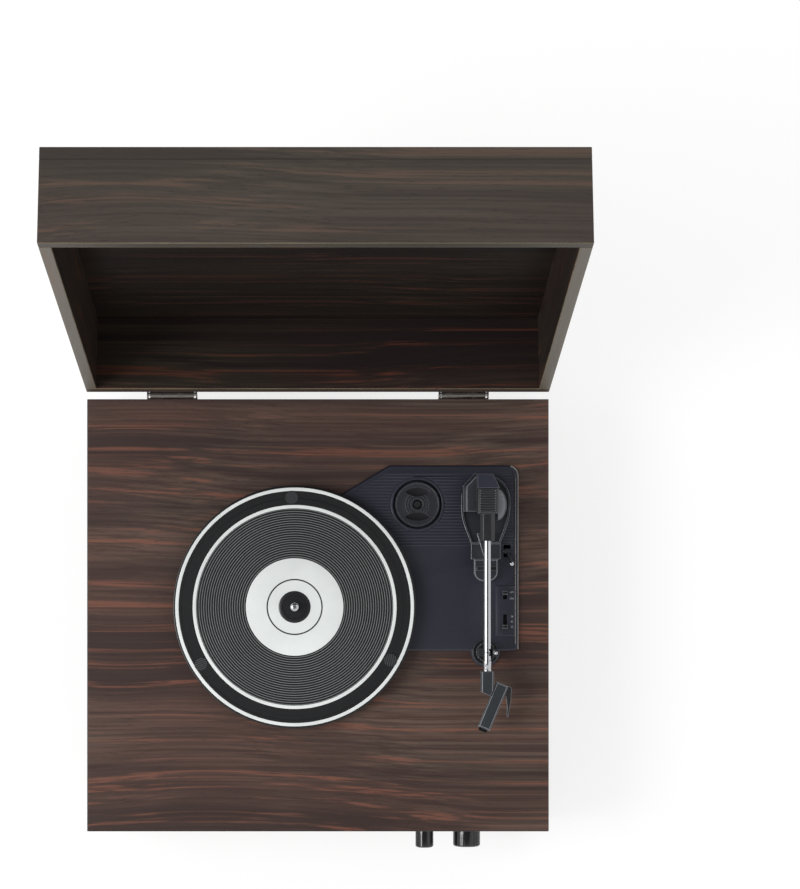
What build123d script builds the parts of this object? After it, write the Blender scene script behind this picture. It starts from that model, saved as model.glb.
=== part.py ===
from build123d import *
import math
import os

# Record player in a veneered wooden case. The lid stands open and leans back past upright.
# Sizes are in millimetres. X runs to the right, Y to the back, Z up.
# Places on the deck are measured from the middle of the case, heights from under the feet.

# Case
case_width = 363.0
case_depth = 340.0
case_height = 90.0
board = 9.0
floor_board = 6.0
foot_height = 8.0
foot_radius = 11.0
foot_inset = 30.0
corner_block = 18.0
top = foot_height + case_height
half_width = case_width / 2
half_depth = case_depth / 2

# Lid
lid_height = 66.8
lid_wall = 8.6
lid_gap = 0.6
open_angle = 101.8

# Hinges
hinge_setback = 4.05
hinge_radius = 3.9
hinge_pin_radius = 1.5
hinge_width = 39.3
hinge_leaf = 1.2
hinge_leaf_height = 20.0
hinge_ear = 1.0
hinge_centre = 114.5
knuckle_end = 9.7
knuckle_middle = 14.4
knuckle_gap = 0.25
hinge_screw_spacing = 24.0
hinge_y = half_depth + hinge_setback
hinge_z = top + lid_gap / 2

# Deck plate
deck_side_margin = 24.0
deck_back_margin = 52.2
deck_thickness = 3.0
deck_right = half_width - deck_side_margin
deck_back = half_depth - deck_back_margin
deck_front = deck_back - 145.8
deck_slant_x = deck_right - 101.5
deck_corner = 8.0
deck_front_corner = 4.0
deck_bevel = 1.4
deck_lobe = 57.0
deck_lap = 4.0
deck_rim = 1.1
deck_rim_height = 0.9
deck_rib_pitch = 2.43
deck_rib_width = 1.1
deck_rib_height = 0.35
deck_rib_front = deck_back - 63.3
deck_rib_margin = 4.2
deck_top = top + deck_thickness

# Platter
spindle_x = deck_right - 175.6
spindle_y = deck_back - 111.2
spindle_radius = 3.58
spindle_shaft_radius = 4.0
spindle_rise = 8.0
spindle_tip = 2.2
spindle_depth = 12.0
spindle_cone = 0.5
platter_radius = 95.0
platter_top = top + 12.4
platter_skin = 3.0
platter_skirt = 2.5
platter_lift = 1.7
hub_radius = 9.0
bush_radius = 5.6
drum_radius = 62.5
drum_wall = 2.5
mat_inset = 0.8
ring_inset = 0.95
ring_spacing = 13.6
pad_inset = 7.75
mat_radius = platter_radius - mat_inset
mat_thickness = 1.6
mat_top = platter_top + mat_thickness
ring_width = 2.6
outer_ring_radius = mat_radius - ring_inset
inner_ring_radius = outer_ring_radius - ring_spacing
ring_depth = 0.5
label_radius = 38.1
label_thickness = 0.5
label_line_radius = 21.4
label_line_width = 0.9
hub_cap_radius = 12.4
hub_step_radius = 6.4
hub_rim_height = 0.6
hub_height = 1.2
pad_radius = 5.4
pad_circle = outer_ring_radius - pad_inset
pad_height = 0.5
pad_angles = (91.5, 211.4, 331.0)
running_gap = 0.05
hole_gap = 0.1
seat_gap = 0.3

# Drive
motor_distance = 78.0
motor_angle = 12.0
motor_radius = 17.5
motor_height = 24.0
motor_flange = 1.2
motor_shaft_radius = 1.0
motor_boss_radius = 3.0
motor_shaft_depth = 5.7
pulley_radius = 5.0
pulley_rim = 6.2
pulley_hole_gap = 1.6
pulley_flange = 0.8
grommet_radius = 4.0
grommet_height = 3.6
grommet_circle = 24.0
belt_thickness = 0.8
belt_height = 3.2
belt_rise = 0.9

# Adapter for large-hole records
adapter_x = deck_right - 79.3
adapter_y = deck_back - 30.6
adapter_radius = 18.9
adapter_face_radius = 17.5
adapter_gap = 0.4
adapter_height = 8.0
adapter_finger_radius = 15.0
adapter_finger_offset = 19.5
adapter_finger_depth = 3.4
adapter_hub_radius = 9.6
cup_wall = 1.8

# Tone arm
arm_x = deck_right - 26.0
pivot_y = deck_back - 27.1
pivot_z = top + 24.0
arm_z = top + 27.0
arm_shaft_radius = 3.0
arm_pin_radius = 1.5
arm_base_radius = 19.2
arm_base_plate = 2.0
arm_base_rim = 1.3
arm_base_rim_height = 2.6
waist_width = 23.0
waist_back = pivot_y - 34.7
lobe_width = 18.8
lobe_back = pivot_y - 46.7
lobe_front = pivot_y - 64.1
lobe_height = 5.0
waist_height = 3.2
arm_block_half = 7.8
arm_block_front = pivot_y - 12.0
arm_block_back = pivot_y + 7.9
arm_block_low = top + 16.0
arm_block_high = top + 34.0
arm_cap_back = arm_block_back + 11.2
arm_cap_slope = 5.0
cheek_gap = 0.45
left_cheek = 10.2
left_cheek_front = pivot_y - 9.9
left_cheek_back = pivot_y + 19.6
left_cheek_high = top + 28.5
right_cheek = 7.4
right_cheek_y = pivot_y - 4.5
right_cheek_radius = 12.0
right_cheek_high = top + 26.5
yoke_floor = 3.0
yoke_floor_front = pivot_y - 8.7
yoke_floor_back = pivot_y + 8.3
cheek_corner = 9.4
cheek_back_edge = 1.4
cheek_bevel = 2.6
dome_bevel = 2.2
arm_shaft_low = top - 16.0
clip_thickness = 1.2
clip_rise = 2.4
clip_width = 2.2
arm_pin_left = 5.0
arm_pin_right = 4.0
neck_width = 11.4
neck_height = 10.0
neck_front = arm_block_front - 20.9
neck_chamfer = 2.5
tube_radius = 2.9
tube_front = neck_front - 92.7
collar_radius = 3.35
collar_front = tube_front - 8.5
sleeve_radius = 3.1
sleeve_length = 1.6
socket_width = 10.2
socket_front = collar_front - 17.6
socket_low = top + 21.0
socket_high = top + 30.5
shell_angle = 22.8
shell_width = 9.8
shell_length = 37.6
shell_centre_y = socket_front - 9.3
shell_centre_x = arm_x + 4.6
shell_low = top + 22.6
shell_high = top + 28.8
cartridge_width = 8.4
cartridge_length = 21.0
cartridge_height = 3.6
stylus_rise = 3.4
finger_lift = 1.2
finger_lift_drop = 3.6
finger_lift_outline = ((12.3, 15.9), (14.3, 13.9), (13.8, 4.3), (11.5, -8.7), (10.5, -8.4), (10.9, 0.3),
                       (9.5, 9.3))

# Arm rest, cue lever and switches
rest_y = tube_front + 6.2
rest_foot_radius = 9.8
rest_lobe = 1.8
rest_post_radius = 7.0
rest_foot = 2.0
cradle_length = 5.6
cradle_horn = 2.8
latch_z = top + 31.6
latch_reach = 11.0
latch_thickness = 2.0
latch_ball = 1.5
lifter_y = lobe_front + 9.9
lifter_width = 15.6
lifter_bar = 3.0
lifter_stem_radius = 2.0
lifter_top = top + 20.4
cue_x = arm_x + 17.1
cue_y = lifter_y + 14.0
cue_hub_radius = 2.4
cue_slot_width = 5.6
cue_slot_length = 9.5
cue_tip_x = cue_x + 3.0
cue_tip_y = cue_y - 10.2
cue_tip_z = top + 11.5
switch_front = deck_front + 11.6
switch_back = switch_front + 39.6
switch_thickness = 1.1
slot_width = 3.0
slot_x = arm_x + 15.4
switch_left = slot_x - 7.5
switch_right = slot_x + 8.1
auto_slot = (switch_front + 29.0, switch_front + 36.0)
speed_slot = (switch_front + 5.6, switch_front + 17.2)
slider_width = 4.2
slider_length = 3.6
slider_height = 2.2
screw_radius = 1.5

# Front controls, sockets and speakers
control_z = foot_height + case_height / 2
volume_x = 119.4
volume_radius = 10.9
volume_reach = 15.9
selector_x = 85.5
selector_radius = 7.25
selector_reach = 16.8
control_shaft_radius = 3.0
bushing_radius = 4.5
nut_radius = 6.2
nut_thickness = 2.0
control_body = 22.0
jack_x = 52.0
jack_bore = 1.8
jack_length = 14.0
jack_radius = 4.0
led_x = 102.5
led_z = control_z + 19.0
led_radius = 1.5
speaker_y = -40.0
speaker_radius = 30.0
grille_radius = 34.0
grille_thickness = 3.0
grille_slot = 3.0
grille_pitch = 6.4
socket_plate_x = 95.0
socket_plate_width = 70.0
socket_plate_height = 34.0
socket_plate = 1.5
rca_radius = 4.15
rca_bore = 1.7
rca_stem_radius = 3.6
rca_flange_radius = 5.6
rca_neck_radius = 3.9
rca_neck = 0.4
rca_reach = 8.0
rca_spacing = 14.0
rca_first = 20.0
socket_flange = 1.0
socket_stem = 5.0
socket_corner = 3.0
dc_radius = 2.8
dc_body_radius = 4.2
dc_flange_radius = 5.8
dc_depth = 11.0
dc_pin_radius = 1.0
dc_offset = 22.0
circuit_width = 90.0
circuit_depth = 60.0
circuit_thickness = 1.6
circuit_x = -50.0
circuit_y = 60.0
standoff = 6.0
spacer_inset = 5.0
spacer_radius = 3.2
capacitor_inset = 18.0
capacitor_spacing = 16.0
capacitor_radius = 6.0
capacitor_height = 16.0
sink_width = 50.0
sink_depth = 14.0
sink_inset = 8.0
sink_base = 3.0
sink_fin = 1.0
sink_height = 15.0

# The outer box of the open record player fixes the origin along Y.
turn = math.radians(open_angle)
lid_lean = -(hinge_setback + case_depth) * math.cos(turn)
lid_back_y = hinge_y + (lid_height + lid_gap / 2) * math.sin(turn) + lid_lean
knob_front_y = -half_depth - max(volume_reach, selector_reach)
origin_y = (lid_back_y + knob_front_y) / 2

nodes = {}


def block(x0, x1, y0, y1, z0, z1):
    return Pos((x0 + x1) / 2, (y0 + y1) / 2, (z0 + z1) / 2) * Box(x1 - x0, y1 - y0, z1 - z0)


def post(x, y, z0, z1, radius):
    return Pos(x, y, (z0 + z1) / 2) * Cylinder(radius, z1 - z0)


def rod_x(x0, x1, y, z, radius):
    return Pos((x0 + x1) / 2, y, z) * Rot(0, 90, 0) * Cylinder(radius, x1 - x0)


def rod_y(x, y0, y1, z, radius):
    return Pos(x, (y0 + y1) / 2, z) * Rot(90, 0, 0) * Cylinder(radius, y1 - y0)


def prism(face, z0, z1):
    return extrude(Pos(0, 0, z0) * face, amount=z1 - z0, dir=(0, 0, 1))


def outline(*points):
    return make_face(Polyline(*points, close=True))


def turned(x, y, profile):
    """A round piece from a profile of (radius, height) points."""
    face = make_face(Polyline(*[(r, 0, z) for r, z in profile], close=True))
    return Pos(x, y, 0) * revolve(face, Axis.Z)


def bar_between(start, end, radius):
    """A round bar from one point to another."""
    direction = Vector(*end) - Vector(*start)
    plane = Plane(origin=start, z_dir=direction)
    return extrude(plane * Circle(radius), amount=direction.length)


def keep(name, *solids):
    nodes[name] = solids


def add(name, *solids):
    """Adds more separate solids to a group that shares one node."""
    nodes[name] = nodes.get(name, ()) + solids


# Case


def screw_down(x, y, head_z, length, head=2.6):
    """A pan-head screw whose head faces down."""
    shank = post(x, y, head_z, head_z + length, screw_radius)
    return shank + post(x, y, head_z - 1.6, head_z, head)


def floor_screw_places():
    edge = half_width - board - corner_block / 2
    back = half_depth - board - corner_block / 2
    return [(sx * edge, sy * back) for sx in (-1, 1) for sy in (-1, 1)]


def foot_places():
    x = half_width - foot_inset
    y = half_depth - foot_inset
    return [(sx * x, sy * y) for sx in (-1, 1) for sy in (-1, 1)]


def make_case():
    low = foot_height
    high = top - board
    front = block(-half_width, half_width, -half_depth, -half_depth + board, low, high)
    for x in (volume_x, selector_x):
        front -= rod_y(x, -half_depth, -half_depth + board, control_z, bushing_radius + hole_gap)
    front -= rod_y(jack_x, -half_depth, -half_depth + board, control_z, jack_radius + hole_gap)
    front -= rod_y(led_x, -half_depth, -half_depth + board, led_z, led_radius)
    keep("case_front", front)

    rear = block(-half_width, half_width, half_depth - board, half_depth, low, high)
    opening_x = socket_plate_width / 2 - 5
    opening_z = socket_plate_height / 2 - 5
    rear -= block(socket_plate_x - opening_x, socket_plate_x + opening_x, half_depth - board,
                  half_depth, control_z - opening_z, control_z + opening_z)
    keep("case_rear", rear)

    inner_y = half_depth - board
    for name, side in (("case_left", -1), ("case_right", 1)):
        x0, x1 = sorted((side * half_width, side * (half_width - board)))
        wall = block(x0, x1, -inner_y, inner_y, low, high)
        wall -= rod_x(x0, x1, speaker_y, control_z, speaker_radius)
        lip0, lip1 = sorted((side * half_width, side * (half_width - grille_thickness)))
        wall -= rod_x(lip0, lip1, speaker_y, control_z, grille_radius)
        keep(name, wall)

    panel = block(-half_width, half_width, -half_depth, half_depth, high, top)
    panel -= prism(offset(deck_face(), amount=-deck_lap), high, top)
    keep("case_top", panel)

    inner_x = half_width - board
    base = block(-inner_x, inner_x, -inner_y, inner_y, low, low + floor_board)
    for x, y in floor_screw_places() + foot_places():
        base -= post(x, y, low, low + floor_board, screw_radius)
    keep("case_floor", base)

    blocks = []
    screws = []
    block_low = low + floor_board
    for x, y in floor_screw_places():
        half = corner_block / 2
        piece = block(x - half, x + half, y - half, y + half, block_low, high)
        blocks.append(piece - post(x, y, block_low, block_low + 12, screw_radius))
        screws.append(screw_down(x, y, low, floor_board + 12))
    keep("corner_blocks", *blocks)
    add("case_screws", *screws)

    feet = []
    foot_screws = []
    recess = foot_radius * 0.5
    for x, y in foot_places():
        foot = post(x, y, 0, low, foot_radius)
        foot = chamfer(foot.edges().group_by(Axis.Z)[0], 1.2)
        foot -= post(x, y, 0, low - 3, recess)
        foot -= post(x, y, low - 3, low, screw_radius)
        feet.append(foot)
        foot_screws.append(screw_down(x, y, low - 3, floor_board + 3))
    keep("rubber_feet", *feet)
    add("case_screws", *foot_screws)


# Speakers


def make_speakers():
    grilles = []
    frames = []
    cones = []
    magnets = []
    for side in (-1, 1):
        outer = side * half_width
        face = side * (half_width - grille_thickness)
        x0, x1 = sorted((outer, face))
        grille = rod_x(x0, x1, speaker_y, control_z, grille_radius)
        reach = speaker_radius - 3
        count = int(reach / grille_pitch)
        for i in range(-count, count + 1):
            y = speaker_y + i * grille_pitch
            length = math.sqrt(reach ** 2 - (i * grille_pitch) ** 2)
            grille -= block(x0, x1, y - grille_slot / 2, y + grille_slot / 2,
                            control_z - length, control_z + length)
        grilles.append(grille)
        inner = side * (half_width - board)
        rim = side * (half_width - board - 2.0)
        deep = side * (half_width - board - 16.0)
        basket = rod_x(*sorted((inner, rim)), speaker_y, control_z, speaker_radius + 4)
        basket -= rod_x(*sorted((inner, rim)), speaker_y, control_z, speaker_radius - 2)
        wide = Plane(origin=(rim, speaker_y, control_z), z_dir=(-side, 0, 0))
        depth = abs(deep - rim)
        shell = loft([wide * Circle(speaker_radius + 1), wide.offset(depth) * Circle(16.0)])
        hollow = loft([wide * Circle(speaker_radius - 2), wide.offset(depth) * Circle(13.0)])
        frames.append(basket + (shell - hollow))
        cone = loft([wide * Circle(speaker_radius - 2.4), wide.offset(depth - 4) * Circle(12.6)])
        cones.append(cone - Pos(side * 2.0, 0, 0) * cone)
        tail = side * (half_width - board - 30.0)
        magnets.append(rod_x(*sorted((deep, tail)), speaker_y, control_z, 20.0))
    keep("speaker_grilles", *grilles)
    keep("speakers", *frames, *cones, *magnets)


# Lid


def opened(shape):
    """Swings a piece of the closed lid back to where it stands open."""
    return Pos(0, hinge_y, hinge_z) * Rot(-open_angle, 0, 0) * Pos(0, -hinge_y, -hinge_z) * shape


def make_lid():
    low = top + lid_gap
    high = low + lid_height
    inside = half_width - lid_wall
    roof = high - lid_wall
    keep("lid_top", opened(block(-half_width, half_width, -half_depth, half_depth, roof, high)))
    front = block(-half_width, half_width, -half_depth, -half_depth + lid_wall, low, roof)
    keep("lid_front", opened(front))
    rear = block(-half_width, half_width, half_depth - lid_wall, half_depth, low, roof)
    keep("lid_rear", opened(rear))
    y = half_depth - lid_wall
    keep("lid_left", opened(block(-half_width, -inside, -y, y, low, roof)))
    keep("lid_right", opened(block(inside, half_width, -y, y, low, roof)))


def leaf(centre, side, widths, leaf_width):
    """One hinge leaf, up for the lid or down for the case, with its knuckles."""
    half = leaf_width / 2
    clear = hinge_radius + knuckle_gap
    y0 = half_depth
    z0, z1 = sorted((hinge_z + side * clear, hinge_z + side * hinge_leaf_height))
    body = block(centre - half, centre + half, y0, y0 + hinge_leaf, z0, z1)
    for x0, x1 in widths:
        n0, n1 = sorted((hinge_z, hinge_z + side * clear))
        body += block(x0, x1, y0, y0 + hinge_leaf, n0, n1)
        body += rod_x(x0, x1, hinge_y, hinge_z, hinge_radius)
        body -= rod_x(x0, x1, hinge_y, hinge_z, hinge_pin_radius + running_gap)
    z = hinge_z + side * (clear + hinge_leaf_height) / 2
    for dx in (-hinge_screw_spacing / 2, hinge_screw_spacing / 2):
        body -= rod_y(centre + dx, y0, y0 + hinge_leaf, z, screw_radius)
    return body


def make_hinges():
    case_leaves = []
    lid_leaves = []
    pins = []
    case_screws = []
    lid_screws = []
    for centre in (-hinge_centre, hinge_centre):
        middle = knuckle_middle / 2
        end = middle + knuckle_gap
        outer = hinge_width / 2
        lower = leaf(centre, -1, [(centre - end - knuckle_end, centre - end),
                                  (centre + end, centre + end + knuckle_end)], hinge_width)
        for x0 in (centre - outer, centre + outer - hinge_ear):
            drop = hinge_z - hinge_radius * 2
            ear = block(x0, x0 + hinge_ear, half_depth, hinge_y, drop, hinge_z)
            ear += rod_x(x0, x0 + hinge_ear, hinge_y, hinge_z, hinge_radius)
            lower += ear
        lower -= rod_x(centre - outer, centre + outer, hinge_y, hinge_z,
                       hinge_pin_radius + running_gap)
        case_leaves.append(lower)
        upper = leaf(centre, 1, [(centre - middle, centre + middle)], hinge_width - 2 * hinge_ear - 1)
        lid_leaves.append(opened(upper))
        pin = rod_x(centre - outer, centre + outer, hinge_y, hinge_z, hinge_pin_radius)
        pins.append(pin)
        z = (hinge_radius + knuckle_gap + hinge_leaf_height) / 2
        face = half_depth + hinge_leaf
        for dx in (-hinge_screw_spacing / 2, hinge_screw_spacing / 2):
            case_screws.append(hinge_screw(centre + dx, face, hinge_z - z))
            lid_screws.append(opened(hinge_screw(centre + dx, face, hinge_z + z)))
    keep("hinge_case_leaves", *case_leaves)
    keep("hinge_lid_leaves", *lid_leaves, *lid_screws)
    add("pivot_pins", *pins)
    add("case_screws", *case_screws)


def hinge_screw(x, face, z):
    return rod_y(x, face, face + 0.9, z, 2.6) + rod_y(x, face - hinge_leaf, face, z, screw_radius)


# Deck


def deck_face():
    """Outline of the moulded deck plate, with the part that runs under the platter."""
    dx = deck_slant_x - spindle_x
    dy = deck_back - spindle_y
    far = math.hypot(dx, dy)
    bearing = math.atan2(dy, dx) + math.acos(deck_lobe / far)
    touch = (spindle_x + deck_lobe * math.cos(bearing), spindle_y + deck_lobe * math.sin(bearing))
    plate = outline((deck_slant_x, deck_back), (deck_right, deck_back), (deck_right, deck_front),
                    (spindle_x, deck_front), (spindle_x, spindle_y), touch)
    corner = plate.vertices().sort_by(Axis.X)[-2:]
    back_corner = corner.sort_by(Axis.Y)[-1:]
    plate = fillet(back_corner, deck_corner)
    corner = plate.vertices().group_by(Axis.X)[-1].sort_by(Axis.Y)[:1]
    plate = fillet(corner, deck_front_corner)
    plate += Pos(spindle_x, spindle_y) * Circle(deck_lobe)
    return plate + Pos(arm_x, rest_y) * Circle(rest_foot_radius + rest_lobe)


def motor_place():
    angle = math.radians(motor_angle)
    return (spindle_x + motor_distance * math.cos(angle), spindle_y + motor_distance * math.sin(angle))


def lobe_face():
    """Outline of the tone arm base: round at the pivot, waisted, with a rounded front."""
    half_waist = waist_width / 2
    head = Pos(arm_x, pivot_y) * Circle(arm_base_radius)
    dx = half_waist
    dy = waist_back - pivot_y
    far = math.hypot(dx, dy)
    bearing = math.atan2(dy, dx) + math.acos(arm_base_radius / far)
    tx = arm_base_radius * math.cos(bearing)
    ty = arm_base_radius * math.sin(bearing)
    taper = outline((arm_x - half_waist, waist_back), (arm_x + half_waist, waist_back),
                    (arm_x + tx, pivot_y + ty), (arm_x - tx, pivot_y + ty))
    return head + taper


def waist_face():
    half = waist_width / 2
    return outline((arm_x - half, lobe_back), (arm_x + half, lobe_back),
                   (arm_x + half, waist_back), (arm_x - half, waist_back))


def front_lobe_face():
    half = lobe_width / 2
    face = outline((arm_x - half, lobe_front), (arm_x + half, lobe_front),
                   (arm_x + half, lobe_back), (arm_x - half, lobe_back))
    return fillet(face.vertices().group_by(Axis.Y)[0], half * 0.8)


def make_deck():
    under = top - cup_wall
    face = deck_face()
    plate = prism(face, top, deck_top)
    plate = chamfer(plate.faces().sort_by(Axis.Z)[-1].edges(), deck_bevel)
    inner = offset(face, amount=-deck_bevel)

    # Ribs across the back of the plate, with a plain margin round them.
    field = offset(face, amount=-deck_rib_margin)
    field -= Pos(adapter_x, adapter_y) * Circle(adapter_radius + adapter_gap + 2.6)
    field -= offset(lobe_face() + waist_face(), amount=0.6)
    ribs = []
    y = deck_back - deck_rib_margin - deck_rib_pitch
    while y > deck_rib_front:
        strip = Pos(0, y) * Rectangle(4 * case_width, deck_rib_width)
        ribs.append(strip & field)
        y -= deck_rib_pitch
    for rib in ribs:
        for piece in rib.faces():
            if piece.center().X > spindle_x + deck_lobe / 2:
                plate += prism(piece, deck_top - 0.1, deck_top + deck_rib_height)

    # The raised rim along the right edge.
    rim = inner - offset(inner, amount=-deck_rim)
    rim &= Pos(deck_right, (deck_front + deck_back) / 2) * Rectangle(24, deck_back - deck_front - 8)
    plate += prism(rim, deck_top - 0.1, deck_top + deck_rim_height)

    # Cup for the adapter.
    cup = adapter_radius + adapter_gap
    floor_z = deck_top + 1.0 - adapter_height
    plate += post(adapter_x, adapter_y, floor_z - cup_wall, deck_top, cup + cup_wall)
    plate += post(adapter_x, adapter_y, deck_top - 0.1, deck_top + 0.6, cup + 1.5)
    plate -= post(adapter_x, adapter_y, floor_z, deck_top + 1, cup)

    # Boss that holds the spindle, and the hole that the motor pulley comes up through.
    boss_top = deck_top + platter_lift - seat_gap
    boss_low = top - spindle_depth + 2
    plate += post(spindle_x, spindle_y, boss_low, boss_top, hub_radius)
    plate -= post(spindle_x, spindle_y, boss_low, boss_top, spindle_shaft_radius)
    mx, my = motor_place()
    plate -= post(mx, my, top, deck_top + 1, pulley_rim + pulley_hole_gap)

    # Holes for the arm bearing, the lifter, the cue lever and the switches.
    plate -= post(arm_x, pivot_y, top - 1, deck_top + 1, arm_shaft_radius + 3.4)
    plate -= post(arm_x, lifter_y, top - 1, deck_top + 1, lifter_stem_radius + 2.4)
    half = cue_slot_width / 2
    plate -= block(cue_x - half, cue_x + half, cue_y - cue_slot_length / 2,
                   cue_y + cue_slot_length / 2, top - 1, deck_top + 1)
    for low, high in (auto_slot, speed_slot):
        plate -= block(slot_x - slot_width / 2, slot_x + slot_width / 2, low, high, top - 1, deck_top + 1)
    keep("deck_plate", plate)

    # Spindle: a stout shaft in the platter's bush, and above it the pin that centres a record.
    tip = mat_top + spindle_rise
    shoulder = mat_top + hub_height
    foot = top - spindle_depth
    pin = turned(spindle_x, spindle_y, [
        (0, foot), (spindle_shaft_radius, foot), (spindle_shaft_radius, shoulder),
        (spindle_radius, shoulder + spindle_cone), (spindle_radius, tip - spindle_tip),
        (spindle_radius * 0.72, tip - spindle_tip * 0.36), (spindle_radius * 0.3, tip), (0, tip)])
    keep("spindle", pin)

    panel = block(switch_left, switch_right, switch_front, switch_back, deck_top, deck_top + switch_thickness)
    panel = chamfer(panel.faces().sort_by(Axis.Z)[-1].edges(), 0.6)
    for low, high in (auto_slot, speed_slot):
        panel -= block(slot_x - slot_width / 2, slot_x + slot_width / 2, low, high, deck_top,
                       deck_top + switch_thickness)
    keep("switch_panel", panel)


# Platter


def make_platter():
    low = deck_top + platter_lift
    bore = bush_radius
    skin = platter_top - platter_skin
    profile = [(bore, low), (hub_radius, low), (hub_radius, skin), (drum_radius - drum_wall, skin),
               (drum_radius - drum_wall, low + 0.6), (drum_radius, low + 0.6), (drum_radius, skin),
               (platter_radius - platter_skirt, skin), (platter_radius - platter_skirt, low),
               (platter_radius, low), (platter_radius, platter_top - 0.8),
               (platter_radius - 0.8, platter_top), (bore, platter_top)]
    keep("platter", turned(spindle_x, spindle_y, profile))
    inner = spindle_shaft_radius + running_gap
    bush = [(inner, low), (bore, low), (bore, platter_top), (inner, platter_top)]
    keep("platter_bush", turned(spindle_x, spindle_y, bush))

    groove = mat_top - ring_depth
    inner_groove = inner_ring_radius - ring_width
    outer_groove = outer_ring_radius - ring_width
    mat_hole = hub_cap_radius + hole_gap
    mat = [(mat_hole, platter_top), (mat_radius, platter_top), (mat_radius, mat_top),
           (outer_ring_radius, mat_top), (outer_ring_radius, groove), (outer_groove, groove),
           (outer_groove, mat_top), (inner_ring_radius, mat_top), (inner_ring_radius, groove),
           (inner_groove, groove), (inner_groove, mat_top), (label_radius, mat_top),
           (label_radius, mat_top - label_thickness), (mat_hole, mat_top - label_thickness)]
    add("platter_mat", turned(spindle_x, spindle_y, mat))
    for radius in (outer_ring_radius, inner_ring_radius):
        ring = [(radius - ring_width, groove), (radius, groove), (radius, mat_top), (radius - ring_width, mat_top)]
        add("mat_rings", turned(spindle_x, spindle_y, ring))
    line = label_line_radius + label_line_width / 2
    hole = hub_cap_radius + hole_gap
    label = [(hole, mat_top - label_thickness), (label_radius, mat_top - label_thickness),
             (label_radius, mat_top), (line, mat_top), (line, mat_top - 0.2),
             (line - label_line_width, mat_top - 0.2), (line - label_line_width, mat_top),
             (hole, mat_top)]
    keep("label_disc", turned(spindle_x, spindle_y, label))
    cap = [(inner, platter_top), (hub_cap_radius, platter_top),
           (hub_cap_radius, mat_top + hub_rim_height / 2),
           (hub_cap_radius - hub_rim_height, mat_top + hub_rim_height),
           (hub_step_radius + 0.2, mat_top + hub_rim_height),
           (hub_step_radius - 0.2, mat_top + hub_height), (inner, mat_top + hub_height)]
    keep("hub_cap", turned(spindle_x, spindle_y, cap))
    pads = []
    for angle in pad_angles:
        x = spindle_x + pad_circle * math.cos(math.radians(angle))
        y = spindle_y + pad_circle * math.sin(math.radians(angle))
        pads.append(post(x, y, mat_top, mat_top + pad_height, pad_radius))
    add("platter_mat", *pads)


def make_drive():
    mx, my = motor_place()
    flange_top = top - grommet_height
    can_top = flange_top - motor_flange
    can = post(mx, my, can_top - motor_height, can_top, motor_radius)
    can = chamfer(can.edges().group_by(Axis.Z)[0], 1.5)
    plate = post(mx, my, can_top, flange_top, motor_radius + 2)
    grommets = []
    screws = []
    for i in range(3):
        angle = math.radians(motor_angle + 60 + 120 * i)
        x = mx + grommet_circle * math.cos(angle)
        y = my + grommet_circle * math.sin(angle)
        plate += post(x, y, can_top, flange_top, grommet_radius)
        plate += bar_flat(mx, my, x, y, can_top, flange_top, grommet_radius)
        ring = post(x, y, flange_top, top, grommet_radius) - post(x, y, flange_top, top, screw_radius)
        grommets.append(ring)
        screws.append(screw_down(x, y, can_top, motor_flange + grommet_height))
        plate -= post(x, y, can_top, flange_top, screw_radius)
    plate -= post(mx, my, can_top, flange_top, motor_boss_radius)
    can -= post(mx, my, can_top - motor_shaft_depth - seat_gap, can_top, motor_shaft_radius + running_gap)
    keep("motor", can, plate)
    keep("motor_grommets", *grommets)
    add("case_screws", *screws)
    shaft_top = platter_top - platter_skin - 2 * seat_gap
    shaft = post(mx, my, can_top - motor_shaft_depth, shaft_top, motor_shaft_radius)
    belt_low = deck_top + platter_lift + belt_rise
    belt_high = belt_low + belt_height
    rim_top = belt_low - seat_gap
    rim_low = rim_top - pulley_flange
    pulley = turned(mx, my, [(motor_shaft_radius, rim_low), (pulley_rim, rim_low), (pulley_rim, rim_top),
                             (pulley_radius, rim_top), (pulley_radius, shaft_top),
                             (motor_shaft_radius, shaft_top)])
    keep("motor_pulley", pulley, shaft)
    inner = belt_face(mx, my, seat_gap)
    outer = belt_face(mx, my, seat_gap + belt_thickness)
    keep("drive_belt", prism(outer - inner, belt_low, min(belt_high, shaft_top)))


def bar_flat(x0, y0, x1, y1, z0, z1, radius):
    """A flat strap between two round ends."""
    length = math.hypot(x1 - x0, y1 - y0)
    angle = math.degrees(math.atan2(y1 - y0, x1 - x0))
    strap = Pos((x0 + x1) / 2, (y0 + y1) / 2, (z0 + z1) / 2) * Rot(0, 0, angle)
    return strap * Box(length, 2 * radius, z1 - z0)


def belt_face(mx, my, gap):
    """The area inside a belt that goes round the drum and the pulley."""
    big = drum_radius + gap
    small = pulley_radius + gap
    side = math.acos((big - small) / motor_distance)
    facing = math.radians(motor_angle)
    points = []
    for sign in (-1, 1):
        angle = facing + sign * side
        points.append(((spindle_x + big * math.cos(angle), spindle_y + big * math.sin(angle)),
                       (mx + small * math.cos(angle), my + small * math.sin(angle))))
    (a, b), (d, c) = points[0], points[1]
    strip = outline(a, b, c, d)
    return strip + Pos(spindle_x, spindle_y) * Circle(big) + Pos(mx, my) * Circle(small)


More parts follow.
